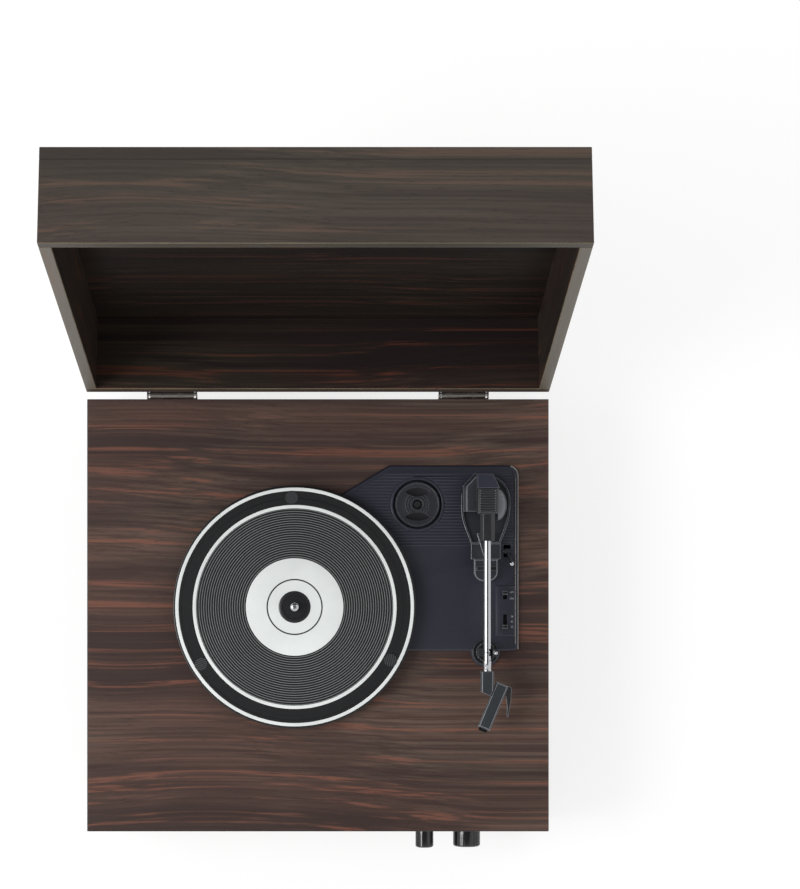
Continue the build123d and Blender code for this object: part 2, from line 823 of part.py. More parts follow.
def make_adapter():
    low = deck_top + 1.0 - adapter_height + seat_gap
    high = deck_top + 1.0 + seat_gap
    bevel = adapter_radius - adapter_face_radius
    body = turned(adapter_x, adapter_y, [
        (spindle_radius + running_gap, low), (adapter_radius, low), (adapter_radius, high - bevel),
        (adapter_face_radius, high), (adapter_hub_radius, high), (adapter_hub_radius - 0.9, high - 1.4),
        (spindle_radius + 3.6, high - 1.4), (spindle_radius + 2.8, high - 0.3),
        (spindle_radius + running_gap, high - 0.3)])
    for sign in (-1, 1):
        lens = Pos(adapter_x, adapter_y) * Circle(adapter_radius - 2.4)
        lens -= Pos(adapter_x, adapter_y) * Circle(adapter_hub_radius - 0.6)
        lens &= Pos(adapter_x, adapter_y + sign * adapter_finger_offset) * Circle(adapter_finger_radius)
        body -= prism(lens, high - adapter_finger_depth, high + 1)
    keep("record_adapter", body)


# Tone arm


def make_arm_base():
    low = deck_top
    plate_top = low + arm_base_plate
    rim_top = plate_top + arm_base_rim_height
    head = lobe_face()
    base = prism(head, low, plate_top)
    base += prism(head - offset(head, amount=-arm_base_rim), plate_top, rim_top)
    base += prism(waist_face(), low, plate_top + waist_height)
    lobe = prism(front_lobe_face(), low, plate_top + lobe_height)
    lobe = chamfer(lobe.faces().sort_by(Axis.Z)[-1].edges(), 0.8)
    base += lobe
    nose = outline((arm_x - 6.6, 64), (arm_x + 6.6, 64), (arm_x + 1.4, waist_back - 10),
                   (arm_x - 1.4, waist_back - 10))
    base += prism(nose, low, rim_top + 1.0)
    base += post(arm_x, pivot_y, top - 12, rim_top, arm_shaft_radius + 3.2)
    base -= post(arm_x, pivot_y, top - 12, rim_top, arm_shaft_radius + running_gap)
    stem = lifter_stem_radius
    base += post(arm_x, lifter_y, top - 10, low, stem + 2)
    base -= post(arm_x, lifter_y, top - 10, plate_top + lobe_height, stem + running_gap)
    keep("arm_base", base)


def make_yoke():
    low = deck_top + arm_base_plate + arm_base_rim_height + seat_gap
    floor = low + yoke_floor
    left_x = arm_x - arm_block_half - cheek_gap
    right_x = arm_x + arm_block_half + cheek_gap
    plan = outline((left_x - left_cheek, left_cheek_front), (left_x, left_cheek_front), (left_x, left_cheek_back),
                   (left_x - cheek_back_edge, left_cheek_back),
                   (left_x - left_cheek, left_cheek_back - cheek_corner))
    cheek = prism(plan, low, left_cheek_high)
    upper_edges = cheek.faces().sort_by(Axis.Z)[-1].edges()
    cheek = chamfer(upper_edges.sort_by(Axis.X)[:2], cheek_bevel)
    round_face = Pos(right_x, right_cheek_y) * Circle(right_cheek_radius)
    round_face &= Pos(right_x + right_cheek / 2, right_cheek_y) * Rectangle(right_cheek, 2 * right_cheek_radius)
    dome = prism(round_face, low, right_cheek_high)
    dome = chamfer(dome.faces().sort_by(Axis.Z)[-1].edges().sort_by(Axis.X)[-3:], dome_bevel)
    yoke = cheek + dome
    yoke += block(left_x, right_x, yoke_floor_front, yoke_floor_back, low, floor)
    pin = rod_x(left_x - arm_pin_left, right_x + arm_pin_right, pivot_y, pivot_z, arm_pin_radius)
    yoke -= pin
    yoke += post(arm_x, pivot_y, arm_shaft_low, floor, arm_shaft_radius)
    keep("arm_yoke", yoke)
    clip_low = arm_shaft_low + clip_rise
    clip = post(arm_x, pivot_y, clip_low, clip_low + clip_thickness, arm_shaft_radius + clip_width)
    clip -= post(arm_x, pivot_y, clip_low, clip_low + clip_thickness, arm_shaft_radius)
    keep("arm_pins", pin, clip)


def make_arm():
    x0 = arm_x - arm_block_half
    x1 = arm_x + arm_block_half
    body = block(x0, x1, arm_block_front, arm_block_back, arm_block_low, arm_block_high)
    body = chamfer(body.faces().sort_by(Axis.Z)[-1].edges(), 1.0)
    y = arm_block_front + 2.4
    while y < arm_block_back - 2.0:
        body += block(x0 + 2.2, x1 - 2.2, y - 0.45, y + 0.45, arm_block_high - 0.1, arm_block_high + 0.55)
        y += 1.93
    body -= rod_x(x0, x1, pivot_y, pivot_z, arm_pin_radius + running_gap)
    half_neck = neck_width / 2
    neck = block(arm_x - half_neck, arm_x + half_neck, neck_front, arm_block_front,
                 arm_z - neck_height / 2, arm_z + neck_height / 2)
    neck = chamfer(neck.edges().filter_by(Axis.Y), neck_chamfer)
    keep("arm_block", body + neck)

    # Cap over the weight: it narrows and slopes down to the back.
    near = Plane(origin=(arm_x, arm_block_back, 0), z_dir=(0, 1, 0), x_dir=(-1, 0, 0))
    top_z = arm_block_high
    side = arm_block_half
    wide = near * outline((-side - 1.5, top_z), (side, top_z), (side, arm_block_low + 2),
                          (-side, arm_block_low + 2), (-side, pivot_z + 0.5), (-side - 1.5, pivot_z + 2.0))
    far = near.offset(arm_cap_back - arm_block_back)
    end = far * outline((-4.4, top_z - arm_cap_slope), (7.6, top_z - arm_cap_slope), (7.6, arm_block_low + 3),
                        (-4.2, arm_block_low + 3), (-4.2, pivot_z), (-4.4, pivot_z + 1.0))
    cap = loft([wide, end])
    weight = block(arm_x - 5.4, arm_x + 3.2, arm_block_back, arm_cap_back - 2.6,
                   arm_block_low + 5, arm_block_low + 12)
    keep("arm_cap", cap - weight)
    keep("arm_weight", weight)

    keep("arm_tube", rod_y(arm_x, tube_front, neck_front, arm_z, tube_radius),
         rod_y(arm_x, collar_front, tube_front, arm_z, collar_radius))
    half = sleeve_length / 2
    sleeve = rod_y(arm_x, rest_y - half, rest_y + half, arm_z, sleeve_radius)
    keep("arm_sleeve", sleeve - rod_y(arm_x, rest_y - half, rest_y + half, arm_z, tube_radius))

    # Headshell: a socket under the tube's end and a bar that is set at the offset angle.
    half = socket_width / 2
    plan = outline((arm_x - half, collar_front), (arm_x + half, collar_front),
                   (arm_x + half, socket_front + 4), (arm_x + 2, socket_front - 1), (arm_x - half, socket_front + 2))
    socket = prism(plan, socket_low, socket_high)
    socket = chamfer(socket.faces().sort_by(Axis.Z)[-1].edges().filter_by(Axis.Y), 1.2)
    bar = set_shell(block(-shell_width / 2, shell_width / 2, -shell_length / 2, shell_length / 2,
                          shell_low, shell_high))
    bar = chamfer(bar.faces().sort_by(Axis.Z)[-1].edges(), 1.0)
    keep("headshell", socket + bar)
    low = shell_low - cartridge_height
    front = -shell_length / 2
    cartridge = block(-cartridge_width / 2, cartridge_width / 2, front + 1.5, front + 1.5 + cartridge_length,
                      low, shell_low)
    cartridge += block(-cartridge_width / 2 + 1, cartridge_width / 2 - 1, front - 2.6, front + 1.5,
                       low + 0.6, shell_low + 2.4)
    cartridge -= block(-shell_width, shell_width, front, front + 3, shell_low, shell_high)
    keep("cartridge", set_shell(cartridge))
    tip = low - stylus_rise + 1.8
    stylus = block(-0.9, 0.9, front + 3.0, front + 12.0, low - 0.8, low)
    stylus += Pos(0, front + 4.0, (low - 0.8 + tip) / 2) * Cone(0.25, 0.7, low - 0.8 - tip)
    keep("stylus", set_shell(stylus))
    lift = outline(*[(shell_centre_x + dx, shell_centre_y + dy) for dx, dy in finger_lift_outline])
    low = shell_high - finger_lift_drop
    keep("finger_lift", prism(lift, low, low + finger_lift))


def set_shell(shape):
    """Puts a piece drawn about the headshell's own middle where the headshell sits."""
    return Pos(shell_centre_x, shell_centre_y, 0) * Rot(0, 0, -shell_angle) * shape


def make_arm_rest():
    foot_top = deck_top + rest_foot
    cradle_top = arm_z - sleeve_radius - seat_gap
    x0 = arm_x - rest_post_radius
    x1 = arm_x + rest_post_radius
    half = cradle_length / 2
    rest = post(arm_x, rest_y, deck_top, foot_top, rest_foot_radius)
    rest += post(arm_x, rest_y, foot_top, deck_top + 9, rest_post_radius)
    rest += block(x0, x1, rest_y - half, rest_y + half, deck_top + 9, cradle_top)
    rest += block(x1 - cradle_horn, x1, rest_y - half, rest_y + half, cradle_top, latch_z + 1.4)
    gap = latch_thickness / 2 + seat_gap
    rest -= block(x1 - cradle_horn, x1, rest_y - gap, rest_y + gap, latch_z - 2.2, latch_z + 2)
    pin_x = x1 - cradle_horn / 2
    rest -= rod_y(pin_x, rest_y - half, rest_y + half, latch_z, 0.6)
    keep("arm_rest", rest)
    add("pivot_pins", rod_y(pin_x, rest_y - half, rest_y + half, latch_z, 0.6))
    hook = rod_y(pin_x, rest_y - latch_thickness / 2, rest_y + latch_thickness / 2, latch_z, 1.3)
    side = latch_thickness / 2
    hook += block(pin_x - 0.8, pin_x + 0.8, rest_y - side, rest_y + side, latch_z, latch_z + latch_reach)
    hook -= rod_y(pin_x, rest_y - side, rest_y + side, latch_z, 0.6 + running_gap)
    ball = Pos(pin_x, rest_y, latch_z + latch_reach + latch_ball * 0.9) * Sphere(latch_ball)
    keep("rest_latch", hook, ball - hook)


# Cue lever, lifter and switches


def make_cue():
    half = cue_slot_width / 2
    hub_z = top + deck_thickness / 2
    pin = rod_x(cue_x - half - 1.5, cue_x + half + 1.5, cue_y, hub_z, 0.7)
    hub = rod_x(cue_x - half + 0.5, cue_x + half - 0.5, cue_y, hub_z, cue_hub_radius)
    stick = bar_between((cue_x, cue_y, hub_z), (cue_tip_x, cue_tip_y, cue_tip_z), 1.25)
    lever = hub + stick - rod_x(cue_x - half - 1.5, cue_x + half + 1.5, cue_y, hub_z, 0.7 + running_gap)
    ball = Pos(cue_tip_x, cue_tip_y, cue_tip_z) * Sphere(1.9)
    keep("cue_lever", lever, ball - lever)
    plate = nodes["deck_plate"][0]
    keep("deck_plate", plate - pin)
    add("pivot_pins", pin)

    low = lifter_top - 2.4
    bar = block(arm_x - lifter_width / 2, arm_x + lifter_width / 2, lifter_y - lifter_bar / 2,
                lifter_y + lifter_bar / 2, low, lifter_top - 0.9)
    bar += post(arm_x, lifter_y, top - 14, low, lifter_stem_radius)
    pad = block(arm_x - lifter_width / 2, arm_x + lifter_width / 2, lifter_y - lifter_bar / 2,
                lifter_y + lifter_bar / 2, lifter_top - 0.9, lifter_top)
    keep("cue_lifter", bar, pad)


def make_switches():
    surface = deck_top + switch_thickness
    for name, slot, at_back in (("auto_stop_slider", auto_slot, True), ("speed_slider", speed_slot, False)):
        y0 = slot[1] - slider_length if at_back else slot[0]
        cap = block(slot_x - slider_width / 2, slot_x + slider_width / 2, y0, y0 + slider_length,
                    surface + seat_gap, surface + slider_height)
        cap = chamfer(cap.edges().filter_by(Axis.X).group_by(Axis.Z)[-1], 0.7)
        stem = slot_width / 2 - seat_gap
        cap += block(slot_x - stem, slot_x + stem, y0 + 0.6, y0 + slider_length - 0.6, top - 1.6, surface + seat_gap)
        keep(name, cap)
    bodies = []
    for low, high in (auto_slot, speed_slot):
        body = block(slot_x - 4.5, slot_x + 4.5, low - 2, high + 2, top - 9, top)
        body -= block(slot_x - slot_width / 2, slot_x + slot_width / 2, low, high, top - 2.2, top)
        bodies.append(body)
    keep("switch_bodies", *bodies)


# Controls and sockets


def make_controls():
    bodies = []
    nuts = []
    face = -half_depth
    for name, x, radius, reach in (("volume", volume_x, volume_radius, volume_reach),
                                   ("selector", selector_x, selector_radius, selector_reach)):
        back = face + board
        body = block(x - control_body / 2, x + control_body / 2, back, back + 10,
                     control_z - control_body / 2, control_z + control_body / 2)
        body += rod_y(x, face - nut_thickness, back, control_z, bushing_radius)
        body -= rod_y(x, face - nut_thickness, back + 8, control_z, control_shaft_radius + running_gap)
        bodies.append(body)
        nut = Pos(x, face - nut_thickness / 2, control_z) * Rot(90, 0, 0)
        nut = nut * extrude(RegularPolygon(nut_radius, 6), amount=nut_thickness / 2, both=True)
        nuts.append(nut - rod_y(x, face - nut_thickness, face, control_z, bushing_radius))
        knob_back = face - nut_thickness - 0.6
        knob = rod_y(x, face - reach, knob_back, control_z, radius)
        knob = fillet(knob.edges().group_by(Axis.Y)[0], 1.2)
        knob -= rod_y(x, face - reach + 4, knob_back, control_z, control_shaft_radius)
        groove = block(x - 0.5, x + 0.5, face - reach, face - reach + 5, control_z + radius * 0.45,
                       control_z + radius)
        shaft = rod_y(x, face - reach + 4, back + 8, control_z, control_shaft_radius)
        keep(name + "_knob", knob - groove, shaft)
    keep("control_bodies", *bodies, *nuts)

    jack = rod_y(jack_x, face, face + jack_length, control_z, jack_radius)
    jack += block(jack_x - 6, jack_x + 6, face + board, face + board + 8, control_z - 6, control_z + 6)
    jack -= rod_y(jack_x, face, face + jack_length, control_z, jack_bore)
    keep("headphone_jack", jack)
    led = rod_y(led_x, face, face + board + 2, led_z, led_radius)
    keep("power_lamp", led)


def make_rear_sockets():
    face = half_depth
    outer = face + socket_plate
    low = control_z - socket_plate_height / 2
    high = control_z + socket_plate_height / 2
    half = socket_plate_width / 2
    plate = block(socket_plate_x - half, socket_plate_x + half, face, outer, low, high)
    plate = fillet(plate.edges().filter_by(Axis.Y), socket_corner)
    rca_x = [socket_plate_x + rca_first - rca_spacing * i for i in range(2)]
    dc_x = socket_plate_x - dc_offset
    flange = outer + socket_flange
    end = flange + rca_neck + rca_reach
    sockets = []
    for x in rca_x:
        plate -= rod_y(x, face, outer, control_z, rca_stem_radius + hole_gap)
        socket = rod_y(x, face - socket_stem, outer, control_z, rca_stem_radius)
        socket += rod_y(x, outer, flange, control_z, rca_flange_radius)
        socket += rod_y(x, flange, flange + rca_neck, control_z, rca_neck_radius)
        socket += rod_y(x, flange + rca_neck, end, control_z, rca_radius)
        sockets.append(socket - rod_y(x, face, end, control_z, rca_bore))
    plate -= rod_y(dc_x, face, outer, control_z, dc_body_radius + hole_gap)
    keep("socket_plate", plate)
    inlet = rod_y(dc_x, face - dc_depth, outer, control_z, dc_body_radius)
    inlet += rod_y(dc_x, outer, flange, control_z, dc_flange_radius)
    hollow = face - dc_depth + 3
    inlet -= rod_y(dc_x, hollow, flange, control_z, dc_radius)
    inlet += rod_y(dc_x, hollow, face - 0.5, control_z, dc_pin_radius)
    keep("rear_sockets", *sockets, inlet)


def make_circuit():
    base = foot_height + floor_board
    low = base + standoff
    high = low + circuit_thickness
    x0 = circuit_x - circuit_width / 2
    y0 = circuit_y - circuit_depth / 2
    card = block(x0, x0 + circuit_width, y0, y0 + circuit_depth, low, high)
    spacers = []
    for dx in (spacer_inset, circuit_width - spacer_inset):
        for dy in (spacer_inset, circuit_depth - spacer_inset):
            card -= post(x0 + dx, y0 + dy, low, high, screw_radius)
            ring = post(x0 + dx, y0 + dy, base, low, spacer_radius)
            spacers.append(ring - post(x0 + dx, y0 + dy, base, low, screw_radius))
    caps = []
    for i in range(3):
        caps.append(post(x0 + capacitor_inset + capacitor_spacing * i, y0 + capacitor_inset, high,
                         high + capacitor_height, capacitor_radius))
    sink_x = x0 + (circuit_width - sink_width) / 2
    sink_y = y0 + circuit_depth - sink_inset - sink_depth
    root = high + sink_base
    sink = block(sink_x, sink_x + sink_width, sink_y, sink_y + sink_depth, high, root)
    pitch = (sink_depth - sink_fin) / 5
    for i in range(6):
        y = sink_y + pitch * i
        sink += block(sink_x, sink_x + sink_width, y, y + sink_fin, root, root + sink_height)
    keep("amplifier", card, *spacers, *caps, sink)


make_case()
make_speakers()
make_lid()
make_hinges()
make_deck()
make_platter()
make_drive()
make_adapter()
make_arm_base()
make_yoke()
make_arm()
make_arm_rest()
make_cue()
make_switches()
make_controls()
make_rear_sockets()
make_circuit()

os.makedirs("parts", exist_ok=True)
for name, solids in nodes.items():
    moved = [Pos(0, -origin_y, 0) * solid for solid in solids]
    shape = moved[0] if len(moved) == 1 else Compound(children=moved)
    export_step(shape, f"parts/{name}.step")
print("origin_y", round(origin_y, 3), "nodes", len(nodes))
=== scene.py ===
import bpy
import bmesh
import math
from mathutils import Matrix, Vector


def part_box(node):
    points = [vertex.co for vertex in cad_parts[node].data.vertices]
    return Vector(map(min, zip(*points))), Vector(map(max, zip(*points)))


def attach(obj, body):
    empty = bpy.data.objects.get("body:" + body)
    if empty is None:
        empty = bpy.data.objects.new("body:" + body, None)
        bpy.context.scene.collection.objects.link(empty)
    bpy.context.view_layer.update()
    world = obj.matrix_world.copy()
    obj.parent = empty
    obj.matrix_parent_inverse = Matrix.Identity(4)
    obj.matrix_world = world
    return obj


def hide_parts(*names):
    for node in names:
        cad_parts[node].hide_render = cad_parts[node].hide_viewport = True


# Record player with its lid open, seen from straight above.
# Lengths are written in millimetres and turned into metres by mm.

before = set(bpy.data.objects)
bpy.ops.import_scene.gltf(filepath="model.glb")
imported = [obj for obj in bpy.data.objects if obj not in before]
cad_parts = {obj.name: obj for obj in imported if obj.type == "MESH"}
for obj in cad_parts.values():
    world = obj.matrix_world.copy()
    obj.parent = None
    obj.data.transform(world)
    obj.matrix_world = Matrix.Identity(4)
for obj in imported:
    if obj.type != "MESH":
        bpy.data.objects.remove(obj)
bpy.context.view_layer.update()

mm = 0.001
back_shift = -61.644
case_top_z = 98.0
deck_z = case_top_z + 3.0
mat_z = case_top_z + 14.0
platter_z = case_top_z + 12.4
spindle = (-18.1, 6.6 + back_shift)
arm_x = 131.5
arm_z = case_top_z + 27.0
hinge_y = 170.0 + 4.05 + back_shift
hinge_z = case_top_z + 0.3
open_angle = math.radians(101.8)
half_width = 181.5
deck_right = 157.5
deck_back = 117.8 + back_shift
deck_front = -28.0 + back_shift
adapter_place = (78.2, 87.2 + back_shift)
pivot_y = 90.7 + back_shift
rest_y = -28.7 + back_shift
front_y = -170.0 + back_shift
rear_y = 170.0 + back_shift
control_z = 53.0
hinge_centres = (-114.5, 114.5)
hinge_screw_reach = 12.0
bevel_angle = math.radians(35)


# Camera: straight above, with the shift that puts the lid's vanishing point where the photo has it.

camera_data = bpy.data.cameras.new("overhead_camera")
camera_data.lens = 100.81
camera_data.sensor_width = 36.0
camera_data.shift_x = 0.07945
camera_data.shift_y = 0.17125
camera_data.clip_end = 20.0
camera = bpy.data.objects.new("overhead_camera", camera_data)
camera.location = (0.00904, -0.04705, 2.05572)
bpy.context.scene.collection.objects.link(camera)
bpy.context.scene.camera = camera


def tone(red, green, blue):
    """A screen colour from 0 to 255 as the linear colour that a shader takes."""
    channels = []
    for value in (red, green, blue):
        value = value / 255
        channels.append(value / 12.92 if value <= 0.04045 else ((value + 0.055) / 1.055) ** 2.4)
    return (*channels, 1.0)


# Shader node groups


def shader_group(name, inputs, outputs):
    """An empty shader group with named sockets: (group, input node, output node)."""
    group = bpy.data.node_groups.new(name, "ShaderNodeTree")
    for label, kind, value in inputs:
        socket = group.interface.new_socket(name=label, in_out="INPUT", socket_type=kind)
        if value is not None:
            socket.default_value = value
    for label, kind in outputs:
        group.interface.new_socket(name=label, in_out="OUTPUT", socket_type=kind)
    entry = group.nodes.new("NodeGroupInput")
    leave = group.nodes.new("NodeGroupOutput")
    return group, entry, leave


def math_node(tree, operation, first, second=None, third=None, clamp=False):
    node = tree.nodes.new("ShaderNodeMath")
    node.operation = operation
    node.use_clamp = clamp
    for index, value in enumerate((first, second, third)):
        if value is None:
            continue
        if isinstance(value, (int, float)):
            node.inputs[index].default_value = value
        else:
            tree.links.new(value, node.inputs[index])
    return node.outputs[0]


def vector_math(tree, operation, vector, second):
    """A Vector Math node. second is another socket or a fixed vector."""
    node = tree.nodes.new("ShaderNodeVectorMath")
    node.operation = operation
    tree.links.new(vector, node.inputs[0])
    if isinstance(second, tuple):
        node.inputs[1].default_value = second
    else:
        tree.links.new(second, node.inputs[1])
    return node


def stretched(tree, vector, scale):
    return vector_math(tree, "MULTIPLY", vector, scale).outputs[0]


def noise(tree, vector, detail=2.0, roughness=0.5):
    """Noise that reads a vector that has its scale already."""
    node = tree.nodes.new("ShaderNodeTexNoise")
    node.inputs["Scale"].default_value = 1.0
    node.inputs["Detail"].default_value = detail
    node.inputs["Roughness"].default_value = roughness
    tree.links.new(vector, node.inputs["Vector"])
    return node.outputs["Fac"]


def stepped(tree, value, low, high):
    """0 below low, 1 above high and smooth between."""
    node = tree.nodes.new("ShaderNodeMapRange")
    node.interpolation_type = "SMOOTHSTEP"
    node.inputs["From Min"].default_value = low
    node.inputs["From Max"].default_value = high
    tree.links.new(value, node.inputs["Value"])
    return node.outputs["Result"]


def mixed(tree, factor, first, second):
    node = tree.nodes.new("ShaderNodeMix")
    node.data_type = "RGBA"
    for socket, value in ((node.inputs[0], factor), (node.inputs[6], first), (node.inputs[7], second)):
        if isinstance(value, (int, float, tuple)):
            socket.default_value = value
        else:
            tree.links.new(value, socket)
    return node.outputs[2]


surface_outputs = [("Color", "NodeSocketColor"),
                   ("Roughness", "NodeSocketFloat"),
                   ("Height", "NodeSocketFloat")]


def make_veneer_group():
    """Wood grain that runs along X: broad tones, wandering streaks, fine lines and pores."""
    group, entry, leave = shader_group(
        "veneer_grain",
        [("Vector", "NodeSocketVector", None),
         ("Dark", "NodeSocketColor", tone(54, 38, 34)),
         ("Middle", "NodeSocketColor", tone(87, 63, 54)),
         ("Streak", "NodeSocketColor", tone(124, 77, 60)),
         ("Pale", "NodeSocketColor", tone(102, 86, 75)),
         ("Streaks", "NodeSocketFloat", 0.68),
         ("Paleness", "NodeSocketFloat", 0.6)],
        surface_outputs)
    vector = entry.outputs["Vector"]
    wide = noise(group, stretched(group, vector, (2.6, 4.0, 4.0)), 1.0)
    near = noise(group, stretched(group, vector, (7.0, 24.0, 24.0)), 1.0)
    wide = math_node(group, "MULTIPLY", math_node(group, "SUBTRACT", wide, 0.5), 0.045)
    near = math_node(group, "MULTIPLY", math_node(group, "SUBTRACT", near, 0.5), 0.006)
    sway = math_node(group, "ADD", wide, near)
    lift = group.nodes.new("ShaderNodeCombineXYZ")
    group.links.new(sway, lift.inputs["Y"])
    group.links.new(sway, lift.inputs["Z"])
    bent = vector_math(group, "ADD", vector, lift.outputs[0]).outputs[0]

    broad = noise(group, stretched(group, bent, (1.0, 24.0, 24.0)), 3.0, 0.6)
    bands = noise(group, stretched(group, bent, (0.8, 115.0, 115.0)), 4.0, 0.62)
    lines = noise(group, stretched(group, bent, (2.0, 460.0, 460.0)), 3.0, 0.6)
    pores = noise(group, stretched(group, bent, (70.0, 1900.0, 1900.0)), 2.0, 0.5)
    patches = noise(group, stretched(group, bent, (3.0, 9.0, 9.0)), 2.0, 0.5)

    body = mixed(group, stepped(group, broad, 0.38, 0.6), entry.outputs["Dark"], entry.outputs["Middle"])
    pale = math_node(group, "MULTIPLY", stepped(group, patches, 0.42, 0.62), entry.outputs["Paleness"])
    pale = math_node(group, "MULTIPLY", pale, stepped(group, bands, 0.34, 0.56))
    body = mixed(group, pale, body, entry.outputs["Pale"])
    streak = math_node(group, "MULTIPLY", stepped(group, bands, 0.52, 0.64), entry.outputs["Streaks"])
    streak = math_node(group, "MULTIPLY", streak, stepped(group, lines, 0.34, 0.6))
    body = mixed(group, streak, body, entry.outputs["Streak"])
    dark = math_node(group, "MULTIPLY", stepped(group, lines, 0.62, 0.4), 0.5)
    body = mixed(group, dark, body, entry.outputs["Dark"])
    vein = math_node(group, "MULTIPLY", stepped(group, bands, 0.42, 0.34), 0.45)
    body = mixed(group, vein, body, entry.outputs["Dark"])
    pit = math_node(group, "MULTIPLY", stepped(group, pores, 0.6, 0.72), 0.55)
    pore_black = (0.008, 0.005, 0.005, 1.0)
    body = mixed(group, pit, body, pore_black)
    group.links.new(body, leave.inputs["Color"])
    rough = math_node(group, "MULTIPLY_ADD", lines, 0.22, 0.36)
    rough = math_node(group, "ADD", rough, math_node(group, "MULTIPLY", pit, 0.2))
    group.links.new(rough, leave.inputs["Roughness"])
    height = math_node(group, "SUBTRACT", lines, pit)
    group.links.new(height, leave.inputs["Height"])
    return group


def make_moulded_group():
    """Moulded plastic and rubber: a fine texture with soft uneven gloss and light dust."""
    group, entry, leave = shader_group(
        "moulded_surface",
        [("Vector", "NodeSocketVector", None),
         ("Color", "NodeSocketColor", tone(40, 41, 50)),
         ("Dust Color", "NodeSocketColor", tone(120, 122, 128)),
         ("Dust", "NodeSocketFloat", 0.06),
         ("Gloss", "NodeSocketFloat", 0.42),
         ("Spread", "NodeSocketFloat", 0.14)],
        surface_outputs)
    vector = entry.outputs["Vector"]
    pebble = noise(group, stretched(group, vector, (1500.0, 1500.0, 1500.0)), 2.0)
    cloud = noise(group, stretched(group, vector, (22.0, 22.0, 22.0)), 3.0)
    specks = noise(group, stretched(group, vector, (620.0, 620.0, 620.0)), 3.0, 0.7)
    dust = math_node(group, "MULTIPLY", stepped(group, specks, 0.5, 0.78), entry.outputs["Dust"])
    cloud_black = (0.004, 0.004, 0.005, 1.0)
    shade = mixed(group, math_node(group, "MULTIPLY", cloud, 0.34), entry.outputs["Color"], cloud_black)
    group.links.new(mixed(group, dust, shade, entry.outputs["Dust Color"]), leave.inputs["Color"])
    uneven = math_node(group, "SUBTRACT", cloud, 0.5)
    rough = math_node(group, "MULTIPLY_ADD", uneven, entry.outputs["Spread"], entry.outputs["Gloss"])
    group.links.new(math_node(group, "ADD", rough, dust, clamp=True), leave.inputs["Roughness"])
    group.links.new(pebble, leave.inputs["Height"])
    return group


def make_brushed_group():
    """Drawn or turned metal: fine lines along one axis with small stains."""
    group, entry, leave = shader_group(
        "drawn_metal",
        [("Vector", "NodeSocketVector", None),
         ("Color", "NodeSocketColor", tone(190, 190, 192)),
         ("Stain", "NodeSocketColor", tone(96, 92, 86)),
         ("Stains", "NodeSocketFloat", 0.3),
         ("Gloss", "NodeSocketFloat", 0.24)],
        surface_outputs)
    vector = entry.outputs["Vector"]
    lines = noise(group, stretched(group, vector, (40.0, 2600.0, 2600.0)), 2.0)
    cloud = noise(group, stretched(group, vector, (130.0, 130.0, 130.0)), 3.0, 0.6)
    stain = math_node(group, "MULTIPLY", stepped(group, cloud, 0.48, 0.7), entry.outputs["Stains"])
    color = mixed(group, stain, entry.outputs["Color"], entry.outputs["Stain"])
    group.links.new(color, leave.inputs["Color"])
    rough = math_node(group, "MULTIPLY_ADD", lines, 0.14, entry.outputs["Gloss"])
    rough = math_node(group, "ADD", rough, math_node(group, "MULTIPLY", stain, 0.4), clamp=True)
    group.links.new(rough, leave.inputs["Roughness"])
    group.links.new(lines, leave.inputs["Height"])
    return group


def make_turned_group():
    """Faint rings round the spindle: a mask that rises and falls with the distance from it."""
    group, entry, leave = shader_group(
        "turned_rings",
        [("Vector", "NodeSocketVector", None), ("Pitch", "NodeSocketFloat", 0.00093)],
        [("Mask", "NodeSocketFloat")])
    flat = stretched(group, entry.outputs["Vector"], (1.0, 1.0, 0.0))
    centre = (spindle[0] * mm, spindle[1] * mm, 0.0)
    radius = vector_math(group, "DISTANCE", flat, centre).outputs["Value"]
    phase = math_node(group, "DIVIDE", radius, entry.outputs["Pitch"])
    wave = math_node(group, "SINE", math_node(group, "MULTIPLY", phase, 2 * math.pi))
    mask = math_node(group, "MULTIPLY_ADD", wave, 0.5, 0.5)
    group.links.new(mask, leave.inputs["Mask"])
    return group


veneer_grain = make_veneer_group()
moulded_surface = make_moulded_group()
drawn_metal = make_brushed_group()
turned_rings = make_turned_group()


# Materials


def blank_material(name):
    material = bpy.data.materials.new(name)
    material.use_nodes = True
    return material, material.node_tree, material.node_tree.nodes["Principled BSDF"]


def placed_group(tree, group, vector, **values):
    node = tree.nodes.new("ShaderNodeGroup")
    node.node_tree = group
    tree.links.new(vector, node.inputs["Vector"])
    for label, value in values.items():
        node.inputs[label.replace("_", " ")].default_value = value
    return node


def object_place(tree):
    return tree.nodes.new("ShaderNodeTexCoord").outputs["Object"]


def bumped(tree, shader, height, strength, distance):
    bump = tree.nodes.new("ShaderNodeBump")
    bump.inputs["Strength"].default_value = strength
    bump.inputs["Distance"].default_value = distance
    tree.links.new(height, bump.inputs["Height"])
    tree.links.new(bump.outputs["Normal"], shader.inputs["Normal"])


def coated(tree, shader, surface, color, grain, depth):
    """Gives the shader its colour and the gloss and relief of a surface group."""
    tree.links.new(color, shader.inputs["Base Color"])
    tree.links.new(surface.outputs["Roughness"], shader.inputs["Roughness"])
    bumped(tree, shader, surface.outputs["Height"], grain, depth)


def along_y(tree, vector):
    """Turns the grain so that it runs along Y."""
    turn = tree.nodes.new("ShaderNodeMapping")
    turn.inputs["Rotation"].default_value = (0.0, 0.0, math.radians(90))
    tree.links.new(vector, turn.inputs["Vector"])
    return turn.outputs[0]


def lid_place(tree, vector):
    """Place in the shut lid, measured from the hinge line."""
    move = vector_math(tree, "SUBTRACT", vector, (0.0, hinge_y * mm, hinge_z * mm))
    turn = tree.nodes.new("ShaderNodeMapping")
    turn.inputs["Rotation"].default_value = (open_angle, 0.0, 0.0)
    tree.links.new(move.outputs[0], turn.inputs["Vector"])
    return turn.outputs[0]


